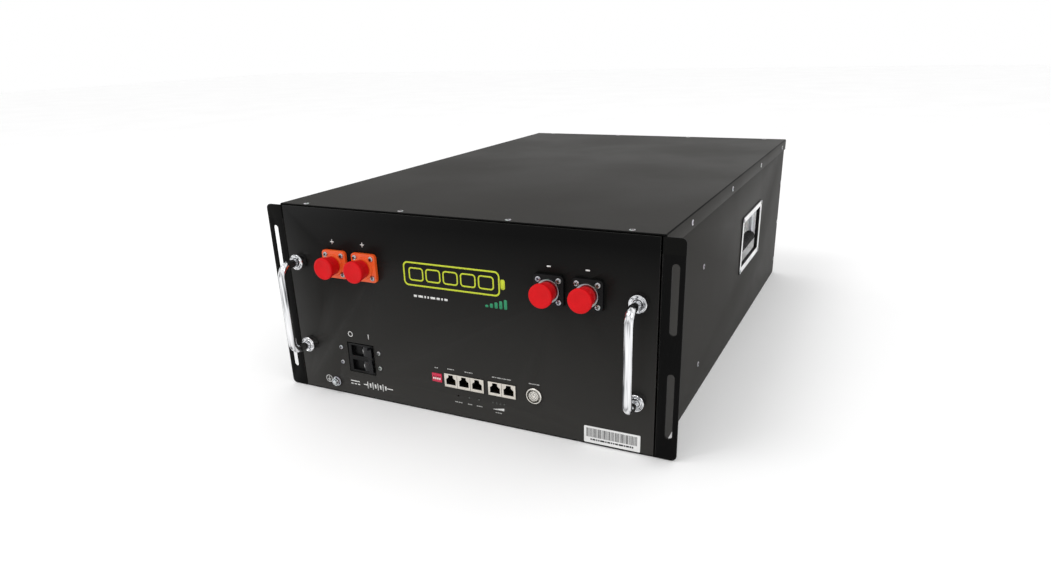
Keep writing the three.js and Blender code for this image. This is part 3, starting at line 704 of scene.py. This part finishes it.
def inked(piece, thickness):
    """Gives a piece's open faces the thickness of an ink film, grown inwards."""
    film = piece.modifiers.new("ink_film", "SOLIDIFY")
    film.thickness = thickness * MM
    film.offset = -1


def printed(name, shapes, finish, y=None, body="case", thickness=0.04):
    """Flat shapes in the XZ plane, facing the front, given an ink film's thickness."""
    y = PANEL_FACE - 0.05 if y is None else y
    counts = np.cumsum([0] + [len(points) for points, _ in shapes])
    faces = [
        [corner + int(base) for corner in face]
        for base, (_, shape_faces) in zip(counts, shapes)
        for face in shape_faces
    ]
    flat = np.concatenate([points for points, _ in shapes])
    points = np.stack([flat[:, 0], np.full(len(flat), y), flat[:, 1]], -1)
    inked(add_piece(name, points, faces, finish, body), thickness)


# ---------------------------------------------------------------- case


def make_case():
    """Folded case, lid, front and rear sheets with their screws."""
    eased("case_body", COATS["case"], 0.4)
    eased("lid", COATS["lid"], 0.5, 3)
    eased("front_panel", COATS["panel"], 0.35)
    eased("rear_panel", COATS["plain"], 0.4)
    front_row = [(x, PANEL_FACE + 7.5, LID_TOP) for x in (-189, -63, 63, 189)]
    rear_y = span("lid")[1][1] - 7.5
    rear_row = [(x, rear_y, LID_TOP) for x in (-189, -63, 63, 189)]
    pan_screws("lid_top_screws", front_row + rear_row, (0, 0, 1), 3.1, 0.9)
    stations = [PANEL_FACE + y for y in (90, 276, 462, 648)]
    for side, sign in SIDES:
        lip = [(sign * LID_X, y, LID_TOP - 8.5) for y in stations]
        pan_screws(f"lid_lip_screws_{side}", lip, (sign, 0, 0), 3.1, 1.0)
        wall = [(sign * WALL_X, PANEL_FACE + 158, z) for z in (37, 152)]
        back = [(sign * WALL_X, rear_y, z) for z in (25, 90, 155)]
        pan_screws(f"wall_screws_{side}", wall + back, (sign, 0, 0), 3.1, 1.0)


# ---------------------------------------------------------------- power sockets


def make_socket(node, sign_colour, slot):
    """Square flange, raised ring and bore of one power socket, with its contact pin."""
    centre = middle(node)
    centre[1] = PANEL_FACE
    circle, square = round_hole, outline
    rings = [
        (circle(0.001), -14), (circle(8.6), -14), (circle(8.6), 6.3), (circle(9.1), 6.9),
        (circle(9.5), 7.0), (circle(11.3), 7.0), (circle(11.9), 6.8), (circle(12.2), 6.2),
        (circle(12.2), 4.9), (circle(12.35), 4.5), (circle(12.8), 4.3),
        (square(15.2, 15.2, 3.5), 4.3), (square(15.6, 15.6, 3.9), 4.15),
        (square(15.75, 15.75, 4), 3.7), (square(15.75, 15.75, 4), 0.6),
        (square(15.5, 15.5, 3.8), 0.3), (circle(11), 0.3), (circle(11), -21),
        (circle(6), -21), (circle(6), -29), (circle(0.001), -29),
    ]
    bands = np.zeros(len(rings) - 1, int)
    bands[2:9] = 1 if slot == "negative_black" else 0
    piece = ring_piece(
        f"{node}_shell", [ring[0] for ring in rings], [ring[1] for ring in rings],
        centre, (0, -1, 0), [sign_colour, RING_CHROME], "case", bands,
    )
    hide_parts(node)
    pin = softened([(0, 3.5), (4.1, 3.5), (4.1, -13.6), (0, -13.6)], [1.8, 0.2], 6)
    turned_piece(f"{node}_pin", pin, centre, (0, -1, 0), ZINC, "case", sides=28)
    half = 10.75
    corners = [(sx * half, sz * half) for sx in (-1, 1) for sz in (-1, 1)]
    screws = [centre + (dx, -4.3, dz) for dx, dz in corners]
    pan_screws(f"{node}_screws", screws, (0, -1, 0), 2.9, 1.5)


def make_dust_cap(node, body):
    """Soft cap: flat front with a shallow ring step, tapered skirt, hollow spigot."""
    centre = middle(node)
    centre[1] = PANEL_FACE
    profile = [
        (0, 23.7), (8.4, 23.7), (8.8, 23.78), (9.2, 23.98), (9.6, 24), (11.3, 24), (11.8, 23.8),
        (12.05, 23.4), (12.1, 22.9), (12.1, 20.2), (12.0, 19.8), (11.7, 19.4), (11.5, 18.8),
        (10.9, 15), (10.3, 11), (9.9, 7.9), (9.75, 7.5), (9.5, 7.3), (8.5, 7.3), (8.25, 7.1),
        (8.2, 6.7), (8.05, -8.3), (7.9, -8.8), (7.6, -9), (5.9, -9), (5.6, -8.8), (5.5, -8.5),
        (5.5, 17.6), (5.1, 18), (0, 18),
    ]
    piece = turned_piece(
        f"{node}_shell", profile, centre, (0, -1, 0), RED_VINYL, body, sides=64
    )
    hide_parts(node)


def make_sockets():
    """Two orange positive sockets and two black negative ones, each with its red cap."""
    for index in (1, 2):
        make_socket(f"positive_socket_{index}", ORANGE, "positive_orange")
        make_socket(f"negative_socket_{index}", SOCKET_BLACK, "negative_black")
    for index in (1, 2, 3, 4):
        make_dust_cap(f"dust_cap_{index}", f"dust_cap_{index}")


# ---------------------------------------------------------------- breaker


def make_breaker():
    """Two-pole breaker with easing on its mouldings, position marks and fixing screws."""
    eased("breaker_body", BREAKER_BLACK, 0.35)
    eased("breaker_lever", LEVER_BLACK, 0.4, 3)
    pivot_x, pivot_y = -125.0, PANEL_FACE + 9
    reach, tall = 8.45, 4.4
    angle = np.radians(np.linspace(240, 247, 4))
    grid = []
    for low in (37.8, 55.8):
        turn, rise = np.meshgrid(angle, np.array([low, low + tall]), indexing="ij")
        across = pivot_x + reach * np.cos(turn)
        inwards = pivot_y + reach * np.sin(turn)
        grid.append(np.stack([across, inwards, rise], -1).reshape(-1, 3))
    one = np.array([[0, 2, 3, 1], [2, 4, 5, 3], [4, 6, 7, 5]])
    marks = add_piece(
        "lever_position_marks", np.concatenate(grid), np.concatenate([one, one + 8]),
        WHITE_INK, "breaker_lever",
    )
    inked(marks, 0.05)
    places = [(x, PANEL_FACE, z) for x in (-158.4, -105.2) for z in (41.3, 59.8)]
    pan_screws("breaker_screws", places, (0, -1, 0), 2.6, 1.5)


# ---------------------------------------------------------------- ports and switches


def make_ports():
    """Jack blocks with painted dark lines as shade in the joints between ports, and eight spring
    contacts in each mouth.
    """
    wires = []
    for node, count in (("port_block_triple", 3), ("port_block_double", 2)):
        eased(node, IVORY, 0.22)
        (start, face, base), (stop, _, _) = span(node)
        pitch = (stop - start) / count
        wires += [
            start + (port + 0.5) * pitch + (index - 3.5) * 1.02
            for port in range(count)
            for index in range(8)
        ]
        # painted shade: thin black lines between the ports stand in for the shade in the joints
        joint_shade_lines = [
            block(x - 0.2, x + 0.2, base + 0.3, base + 15.3)
            for x in start + pitch * np.arange(1, count)
        ]
        printed(
            f"{node}_seams", joint_shade_lines, BLACK_INK, y=face - 0.03, thickness=0.02
        )
    path = np.array([
        (2.6, 4.0), (2.9, 3.6), (3.6, 3.5), (6.6, 4.9), (9.6, 6.4), (10.8, 6.6),
    ])
    x = np.asarray(wires)[:, None, None]
    across = np.array([-0.22, 0.22, 0.22, -0.22])
    lift = np.array([0.0, 0.0, 0.28, 0.28])
    shape = (len(wires), len(path), 4)
    points = np.stack([
        np.broadcast_to(x + across, shape),
        np.broadcast_to(PANEL_FACE + path[None, :, :1], shape),
        np.broadcast_to(base + path[None, :, 1:] + lift, shape),
    ], -1)
    last = (len(path) - 1) * 4
    ends = [[3, 2, 1, 0], [last, last + 1, last + 2, last + 3]]
    one = np.concatenate([ring_faces(len(path), 4)[:, ::-1], ends])
    faces = (one[None] + np.arange(len(wires))[:, None, None] * len(path) * 4).reshape(-1, 4)
    add_piece("port_contacts", points.reshape(-1, 3), faces, CONTACT_GOLD, "case")


def make_switches():
    """Address switch, power button, reset button and lights."""
    eased("address_switch", SWITCH_PINK, 0.15)
    for index in (1, 2, 3, 4):
        eased(f"address_slider_{index}", SLIDER_WHITE, 0.1)
    centre = np.array(POWER_CENTRE)
    bezel = [
        (0, -9.5), (5.8, -9.5), (5.8, 0.9), (6.0, 1.3), (6.2, 1.5), (6.45, 1.3), (6.5, 0.6),
        (7.2, 0.6), (7.3, 1.7), (7.5, 2.2), (7.9, 2.35), (8.4, 2.1), (8.8, 1.6), (9, 1.1),
        (9, 0.6), (8.8, 0.3), (7.8, 0.3), (7.8, -24), (0, -24),
    ]
    shaded = np.zeros(len(bezel) - 1, int)
    shaded[[0, 1, 5, 6, 7]] = 1
    housing = turned_piece(
        "power_button_bezel", bezel, centre, (0, -1, 0), [BUTTON_STEEL, BREAKER_BLACK], "case",
        shaded, 64,
    )
    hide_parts("power_button_housing")
    cap = [
        (0, 1.75), (3.8, 1.75), (3.9, 1.35), (4.3, 1.35), (4.4, 1.9), (4.8, 2.1), (5.1, 2.05),
        (5.35, 1.85), (5.5, 1.5), (5.5, -6.2), (0, -6.2),
    ]
    shaded = np.zeros(len(cap) - 1, int)
    shaded[[1, 2, 3, 8, 9]] = 1
    button = turned_piece(
        "power_button_face", cap, centre, (0, -1, 0), [BUTTON_STEEL, BREAKER_BLACK], "power_button",
        shaded, 64,
    )
    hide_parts("power_button_cap")
    middle_point = (centre[0], centre[2])
    symbol = [
        band(arc_line(middle_point, 2.2, 125, 415, 28), 0.5),
        block(centre[0] - 0.25, centre[0] + 0.25, centre[2] + 0.5, centre[2] + 2.9),
    ]
    printed(
        "power_symbol", symbol, BLACK_INK,
        y=PANEL_FACE - 1.79, body="power_button",
    )
    for node in ("run_light", "alarm_light"):
        place = middle(node)
        place[1] = PANEL_FACE
        dome = [
            (0, 0.9), (0.5, 0.84), (0.9, 0.66), (1.2, 0.38), (1.4, 0.1), (1.5, -0.3), (1.5, -9),
            (0, -9),
        ]
        lens = turned_piece(
            f"{node}_lens", dome, place, (0, -1, 0), LIGHT_SMOKE, "case", sides=24
        )
        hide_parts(node)
    eased("charge_light_pipe", LIGHT_SMOKE, 0.1)
    eased("reset_button", SOCKET_BLACK, 0.2)


# ---------------------------------------------------------------- earth stud and label


def make_earth_point():
    """Threaded stud and flanged hexagon nut of the earth point.

    Thread: radius(t, h) = 2.72 + 0.28 |2 frac(h / 1 - t / 2 pi) - 1|, a ridge that climbs one
    pitch a turn. Nut: radius = min(apothem / cos(t - nearest side), chamfer cone at h).
    """
    centre = middle("earth_stud")
    centre[1] = PANEL_FACE
    sides = 24
    angle = np.arange(sides) * 2 * np.pi / sides
    height = np.linspace(7.1, -2.3, 66)[:, None]
    phase = (height - angle[None] / (2 * np.pi)) % 1.0
    radius = 2.72 + 0.28 * np.abs(2 * phase - 1)
    tip = np.clip((7.25 - height) / 0.8, 0.0, 1.0) * 0.6 + 2.3
    radius = np.minimum(radius, tip)
    rows = np.concatenate([[0 * angle], radius, [0 * angle + 5], [0 * angle + 5], [0 * angle]])
    heights = np.concatenate([[7.1], height[:, 0], [-2.3], [-5], [-5]])
    flat = np.stack([rows * np.cos(angle), rows * np.sin(angle)], -1)
    stud = ring_piece(
        "earth_stud_thread", flat, heights, centre, (0, -1, 0), ZINC, "case", crease=60
    )
    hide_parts("earth_stud")
    sides = 72
    angle = np.arange(sides) * 2 * np.pi / sides
    nearest = (angle + np.pi / 6) % (np.pi / 3) - np.pi / 6
    hexagon = 4.6 / np.cos(nearest)
    steps = [
        (3.3, 0.3), (3.3, 4.5), (3.6, 4.8), (4.65, 4.8), (5.0, 4.65), (5.5, 4.3), (5.5, 1.7),
        (5.7, 1.6), (5.8, 1.4), (5.8, 0.5), (5.6, 0.3), (3.3, 0.3),
    ]
    limit = np.array([step[0] for step in steps])[:, None] + 0 * angle
    wrench = np.zeros(len(steps), bool)
    wrench[3:7] = True
    rows = np.where(wrench[:, None], np.minimum(limit, hexagon), limit)
    flat = np.stack([rows * np.cos(angle), rows * np.sin(angle)], -1)
    nut = ring_piece(
        "earth_nut_hex", flat, [step[1] for step in steps], centre, (0, -1, 0), ZINC, "case"
    )
    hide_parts("earth_nut")


def make_label():
    """White film label with an upright bar pattern and a row of short dashes under it."""
    low, high = span("serial_label")
    count = 46
    order = np.arange(count)
    widths = 0.35 + 0.5 * ((order * 7919) % 5) / 4
    gaps = 0.3 + 0.45 * ((order * 6271) % 4) / 3
    scale = (high[0] - low[0] - 5) / (widths + gaps).sum()
    starts = low[0] + 2.5 + np.concatenate([[0], np.cumsum(widths + gaps)[:-1]]) * scale
    bars = [
        block(a, a + w, low[2] + 6.6, high[2] - 2.0) for a, w in zip(starts, widths * scale)
    ]
    row = [1, 2, 1, 1, 3, 1, 2, 1, 1, 2, 3, 1, 2, 1, 1]
    bars += dashes(low[0] + 7, high[0] - 7, low[2] + 4.0, 1.9, row)
    printed("label_bars", bars, BLACK_INK, y=low[1] - 0.03, thickness=0.02)


# ---------------------------------------------------------------- printed panel marks


def make_marks():
    """Generic printed marks: polarity, on and off, earth, charge level and short captions."""
    white = []
    for x in (-153, -112):
        white += [block(x - 2.5, x + 2.5, 185.05, 185.95), block(x - 0.45, x + 0.45, 185.95, 188.0)]
        white += [block(x - 0.45, x + 0.45, 183.0, 185.05)]
    white += [block(x - 2.1, x + 2.1, 183.2, 184.7) for x in (109, 149)]
    white += [band(ring_line((-143, 78), 2.9), 0.9, True), block(-118.0, -117.1, 75.2, 81.0)]
    white += [band(ring_line((-183, 15.4), 4.3), 0.7, True)]
    white += [block(-183.35, -182.65, 15.2, 18.2), block(-185.6, -180.4, 14.5, 15.2)]
    white += [block(-184.8, -181.2, 13.2, 13.85), block(-183.9, -182.1, 12.0, 12.6)]
    white += [block(-150.5, -137.5, 17.9, 19.3)]
    white += dashes(-150.5, -137.5, 15.0, 1.4, [1, 1, 1], 1.6)
    white += [block(-132, -126.5, 16.0, 17.2)]
    for x in (-126.5, -119.3, -112.1, -104.9):
        white += [block(x, x + 1.1, 12.2, 21.0), block(x + 3.2, x + 5.4, 14.0, 19.2)]
    white += [block(-98.8, -90.5, 16.0, 17.2)]
    white += dashes(-50, -8, 135.5, 2.4, [2, 3, 1, 1, 3, 2, 1, 2], 1.8)
    white += [polygon([(40.3, 17.9), (53.8, 17.9), (53.8, 21.0), (40.3, 18.3)])]
    printed("white_panel_marks", white, WHITE_INK)
    grey = []
    captions = [
        (-31.0, -26.5, 55.0, [1, 1]), (-14.5, -6.0, 56.0, [1, 2, 1]), (7.0, 17.0, 56.0, [2, 1, 2, 1]),
        (40.5, 63.0, 56.0, [2, 1, 3, 1, 2, 3]), (84.0, 96.0, 56.2, [2, 1, 1, 2]),
        (-7.2, 2.0, 18.0, [2, 1, 1]), (9.0, 14.2, 18.0, [1, 1]), (20.0, 27.0, 18.0, [1, 2, 1]),
        (43.2, 50.8, 14.6, [1, 1, 1]),
    ]
    for x0, x1, z, widths in captions:
        grey += dashes(x0, x1, z, 1.1, widths, 0.6)
    printed("grey_captions", grey, GREY_INK)

    body = outline(57.0, 12.4, 5.0, 7) + [-3.0, 159.7]
    lime = [band(body, 1.8, True), block(55.6, 60.6, 154.4, 165.0, 2.0)]
    cell = outline(8.4, 6.6, 3.0, 6)
    lime += [band(cell + (x, 159.7), 1.6, True) for x in -45.0 + np.arange(5) * 21.0]
    printed("charge_level_mark", lime, LIME_INK)

    green = [block(37 + 5.4 * k, 40.6 + 5.4 * k, 133.6, 136.4 + 1.9 * k, 1.2) for k in range(5)]
    printed("rising_bars_mark", green, GREEN_INK)


# ---------------------------------------------------------------- front handles


def make_front_handles():
    """Chrome pull handles: a round bar bent twice, each foot in a dished ferrule."""
    for side, _ in SIDES:
        node = f"front_handle_{side}"
        low, high = span(node)
        x = (low[0] + high[0]) / 2
        reach = PANEL_FACE - low[1] - 4.5
        bottom, top = low[2] + 4.5, high[2] - 4.5
        line = bent_line([(0.3, bottom), (reach, bottom), (reach, top), (0.3, top)], 11.5, 14)
        bar = bar_piece(
            f"{node}_bar", line, 4.5, np.array([x, PANEL_FACE, 0.0]),
            (0, -1, 0), (0, 0, 1), CHROME, "case", 32,
        )
        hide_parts(node)
        for end, z in (("lower", bottom), ("upper", top)):
            profile = [
                (4.9, 0.3), (4.9, 8.7), (5.0, 9.1), (5.3, 9.3), (5.7, 9.25), (6.0, 8.9),
                (6.3, 8.1), (6.9, 7.7), (7.4, 7.8), (7.8, 8.3), (8.0, 9.0), (8.25, 9.3),
                (8.6, 9.25), (8.9, 8.9), (9.0, 8.4), (9.0, 0.8), (8.8, 0.4), (8.5, 0.3), (4.9, 0.3),
            ]
            ring = turned_piece(
                f"ferrule_{side}_{end}_cup", profile, np.array([x, PANEL_FACE, z]),
                (0, -1, 0), FERRULE_CHROME, "case",
            )
            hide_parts(f"ferrule_{side}_{end}")


# ---------------------------------------------------------------- side handles


def make_side_handles():
    """Recessed lifting handles: flange with a black painted-shade rim and collar, pressed zinc dish
    painted bright, bail, ribbed grip.
    """
    for side, sign in SIDES:
        dish_node = f"side_handle_dish_{side}"
        centre = middle(dish_node)
        centre[0] = sign * WALL_X
        front = (sign, 0, 0)
        rings = [
            (outline(60.2, 31.7, 2), -4.0), (outline(59, 30.5, 1.5), -4.0),
            (outline(59, 30.5, 1.5), 0.7), (outline(59.2, 30.7, 1.7), 1.1),
            (outline(59.7, 31.2, 2), 1.3), (outline(67.2, 37.7, 4.2), 1.3),
            (outline(67.3, 37.8, 4.3), 1.27), (outline(68.3, 38.8, 5.3), 1.27),
            (outline(68.8, 39.3, 5.8), 1.1), (outline(69, 39.5, 6), 0.8),
            (outline(69, 39.5, 6), 0.3), (outline(60.2, 31.7, 2), 0.3), (outline(60.2, 31.7, 2), -4.0),
        ]
        # painted shade: the collar wall inside the flange and the flange's outer rim are black,
        # standing in for the shadow gap around the dish
        painted_shade_faces = np.zeros(len(rings) - 1, int)
        painted_shade_faces[[0, 1, 6, 7, 8, 9]] = 1
        bezel = ring_piece(
            f"side_handle_bezel_{side}", [r[0] for r in rings], [r[1] for r in rings],
            centre, front, [DISH_ZINC_PAINTED_BRIGHT, SOCKET_BLACK], "case", painted_shade_faces,
        )
        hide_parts(dish_node)
        rings = [
            (outline(0.02, 0.01, 0.005), -18), (outline(50, 21.5, 6), -18),
            (outline(55.5, 27, 6), -17.7), (outline(57.8, 29.3, 5.5), -16.6),
            (outline(58.6, 30.1, 4.5), -14.5), (outline(59, 30.5, 3), -4.2),
            (outline(59.4, 30.9, 2.6), -4.05), (outline(60.2, 31.7, 2), -4.05),
            (outline(60.4, 31.9, 2), -18.5), (outline(59.4, 30.9, 2), -19.5),
            (outline(0.02, 0.01, 0.005), -19.5),
        ]
        ring_piece(
            f"side_handle_tray_{side}", [r[0] for r in rings], [r[1] for r in rings],
            centre, front, DISH_ZINC_PAINTED_BRIGHT, "case",
        )
        corners = [(sy * 64.2, sz * 34.9) for sy in (-1, 1) for sz in (-1, 1)]
        places = [centre + (sign * 1.3, dy, dz) for dy, dz in corners]
        pan_screws(f"side_handle_screws_{side}", places, front, 2.9, 1.2)

        body = f"side_handle_{side}"
        line = bent_line([(-58.7, 22), (-50, 22), (-50, -10), (50, -10), (50, 22), (58.7, 22)], 4.3, 8)
        bail = bar_piece(
            f"side_handle_bail_bar_{side}", line, 3.0, centre - (sign * 8.5, 0, 0),
            (0, 1, 0), (0, 0, 1), ZINC, body, 20,
        )
        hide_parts(f"side_handle_bail_{side}")
        half, count = 43.0, 9
        starts = -half + 5 + np.arange(count) * (2 * half - 10) / count
        rib = np.array([(6.3, 0.0), (7.2, 0.6), (7.4, 1.2), (7.4, 6.2), (7.2, 6.8), (6.3, 7.4)])
        ribs = np.concatenate([rib + (0, start + 0.2) for start in starts])
        profile = np.concatenate([
            [(3.3, -half), (6.4, -half), (7.1, -half + 0.4), (7.4, -half + 1.2), (7.4, -half + 4.2)],
            ribs,
            [(7.4, half - 4.2), (7.4, half - 1.2), (7.1, half - 0.4), (6.4, half)],
            [(3.3, half), (3.3, -half)],
        ])[::-1]
        grip = turned_piece(
            f"side_handle_grip_sleeve_{side}", profile, centre - (sign * 8.5, 0, 10),
            (0, 1, 0), GRIP_RUBBER, body, sides=32,
        )
        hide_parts(f"side_handle_grip_{side}")


# ---------------------------------------------------------------- inside pieces


def dress_inside():
    """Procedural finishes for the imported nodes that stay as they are."""
    finishes = {
        "bulkhead": ZINC,
        "positive_bus_bar": COPPER,
        "negative_bus_bar": COPPER,
        "power_button_nut": ZINC,
        "interface_board": BOARD_GREEN,
        "management_board": BOARD_GREEN,
        "serial_label": LABEL_FILM,
        "cell_row_left": CELL_FILM,
        "cell_row_right": CELL_FILM,
        "cell_floor_sheet": INSULATION,
        "cell_row_spacer": INSULATION,
        "end_plate_front": ALUMINIUM,
        "end_plate_rear": ALUMINIUM,
        "tie_strap_left": ZINC,
        "tie_strap_right": ZINC,
        "cell_link_tray": TRAY_BLACK,
        "heat_sink": ALUMINIUM,
    }
    for node, finish in finishes.items():
        part = frame["nodes"][node]
        part.data.materials.clear()
        part.data.materials.append(finish)


# ---------------------------------------------------------------- studio


def make_studio():
    """Pale floor, even surround light and two large soft lights."""
    size, drop = 9000, -0.4
    corners = [(-size, -size), (size, -size), (size, size), (-size, size)]
    points = np.array([(*corner, drop) for corner in corners])
    mesh = bpy.data.meshes.new("studio_floor")
    mesh.from_pydata((points * MM).tolist(), [], [[0, 1, 2, 3]])
    mesh.materials.append(studio_floor("pale_floor"))
    floor = bpy.data.objects.new("studio_floor", mesh)
    bpy.context.scene.collection.objects.link(floor)

    world = bpy.data.worlds.new("soft_surround")
    world.use_nodes = True
    background = world.node_tree.nodes["Background"]
    background.inputs["Color"].default_value = (1, 1, 1, 1)
    background.inputs["Strength"].default_value = 1.0
    bpy.context.scene.world = world

    lights = [
        ("key_softbox", (-0.9, -1.3, 2.6), (0.0, -0.1, 0.1), 1.2, 16),
        ("fill_softbox", (2.4, -0.9, 1.6), (0.2, 0.0, 0.1), 1.2, 5),
    ]
    for name, place, aim, wide, power in lights:
        lamp = bpy.data.lights.new(name, "AREA")
        lamp.shape = "DISK"
        lamp.size = wide
        lamp.energy = power
        holder = bpy.data.objects.new(name, lamp)
        holder.location = place
        direction = np.array(aim) - np.array(place)
        holder.rotation_euler = Vector(direction).to_track_quat("-Z", "Y").to_euler()
        bpy.context.scene.collection.objects.link(holder)

    lens = bpy.data.cameras.new("bench_camera")
    lens.sensor_width = 36
    lens.lens = 25.82
    lens.shift_y = 0.0530
    lens.clip_start, lens.clip_end = 0.02, 60
    camera = bpy.data.objects.new("bench_camera", lens)
    camera.location = (0.39997, (PANEL_FACE - 632.11) * MM, 0.38493)
    camera.rotation_euler = tuple(np.radians([68.294, 1.634, 26.077]))
    bpy.context.scene.collection.objects.link(camera)
    bpy.context.scene.camera = camera
    bpy.context.scene.view_settings.view_transform = "Standard"


make_case()
make_sockets()
make_breaker()
make_ports()
make_switches()
make_earth_point()
make_label()
make_marks()
make_front_handles()
make_side_handles()
dress_inside()
make_studio()
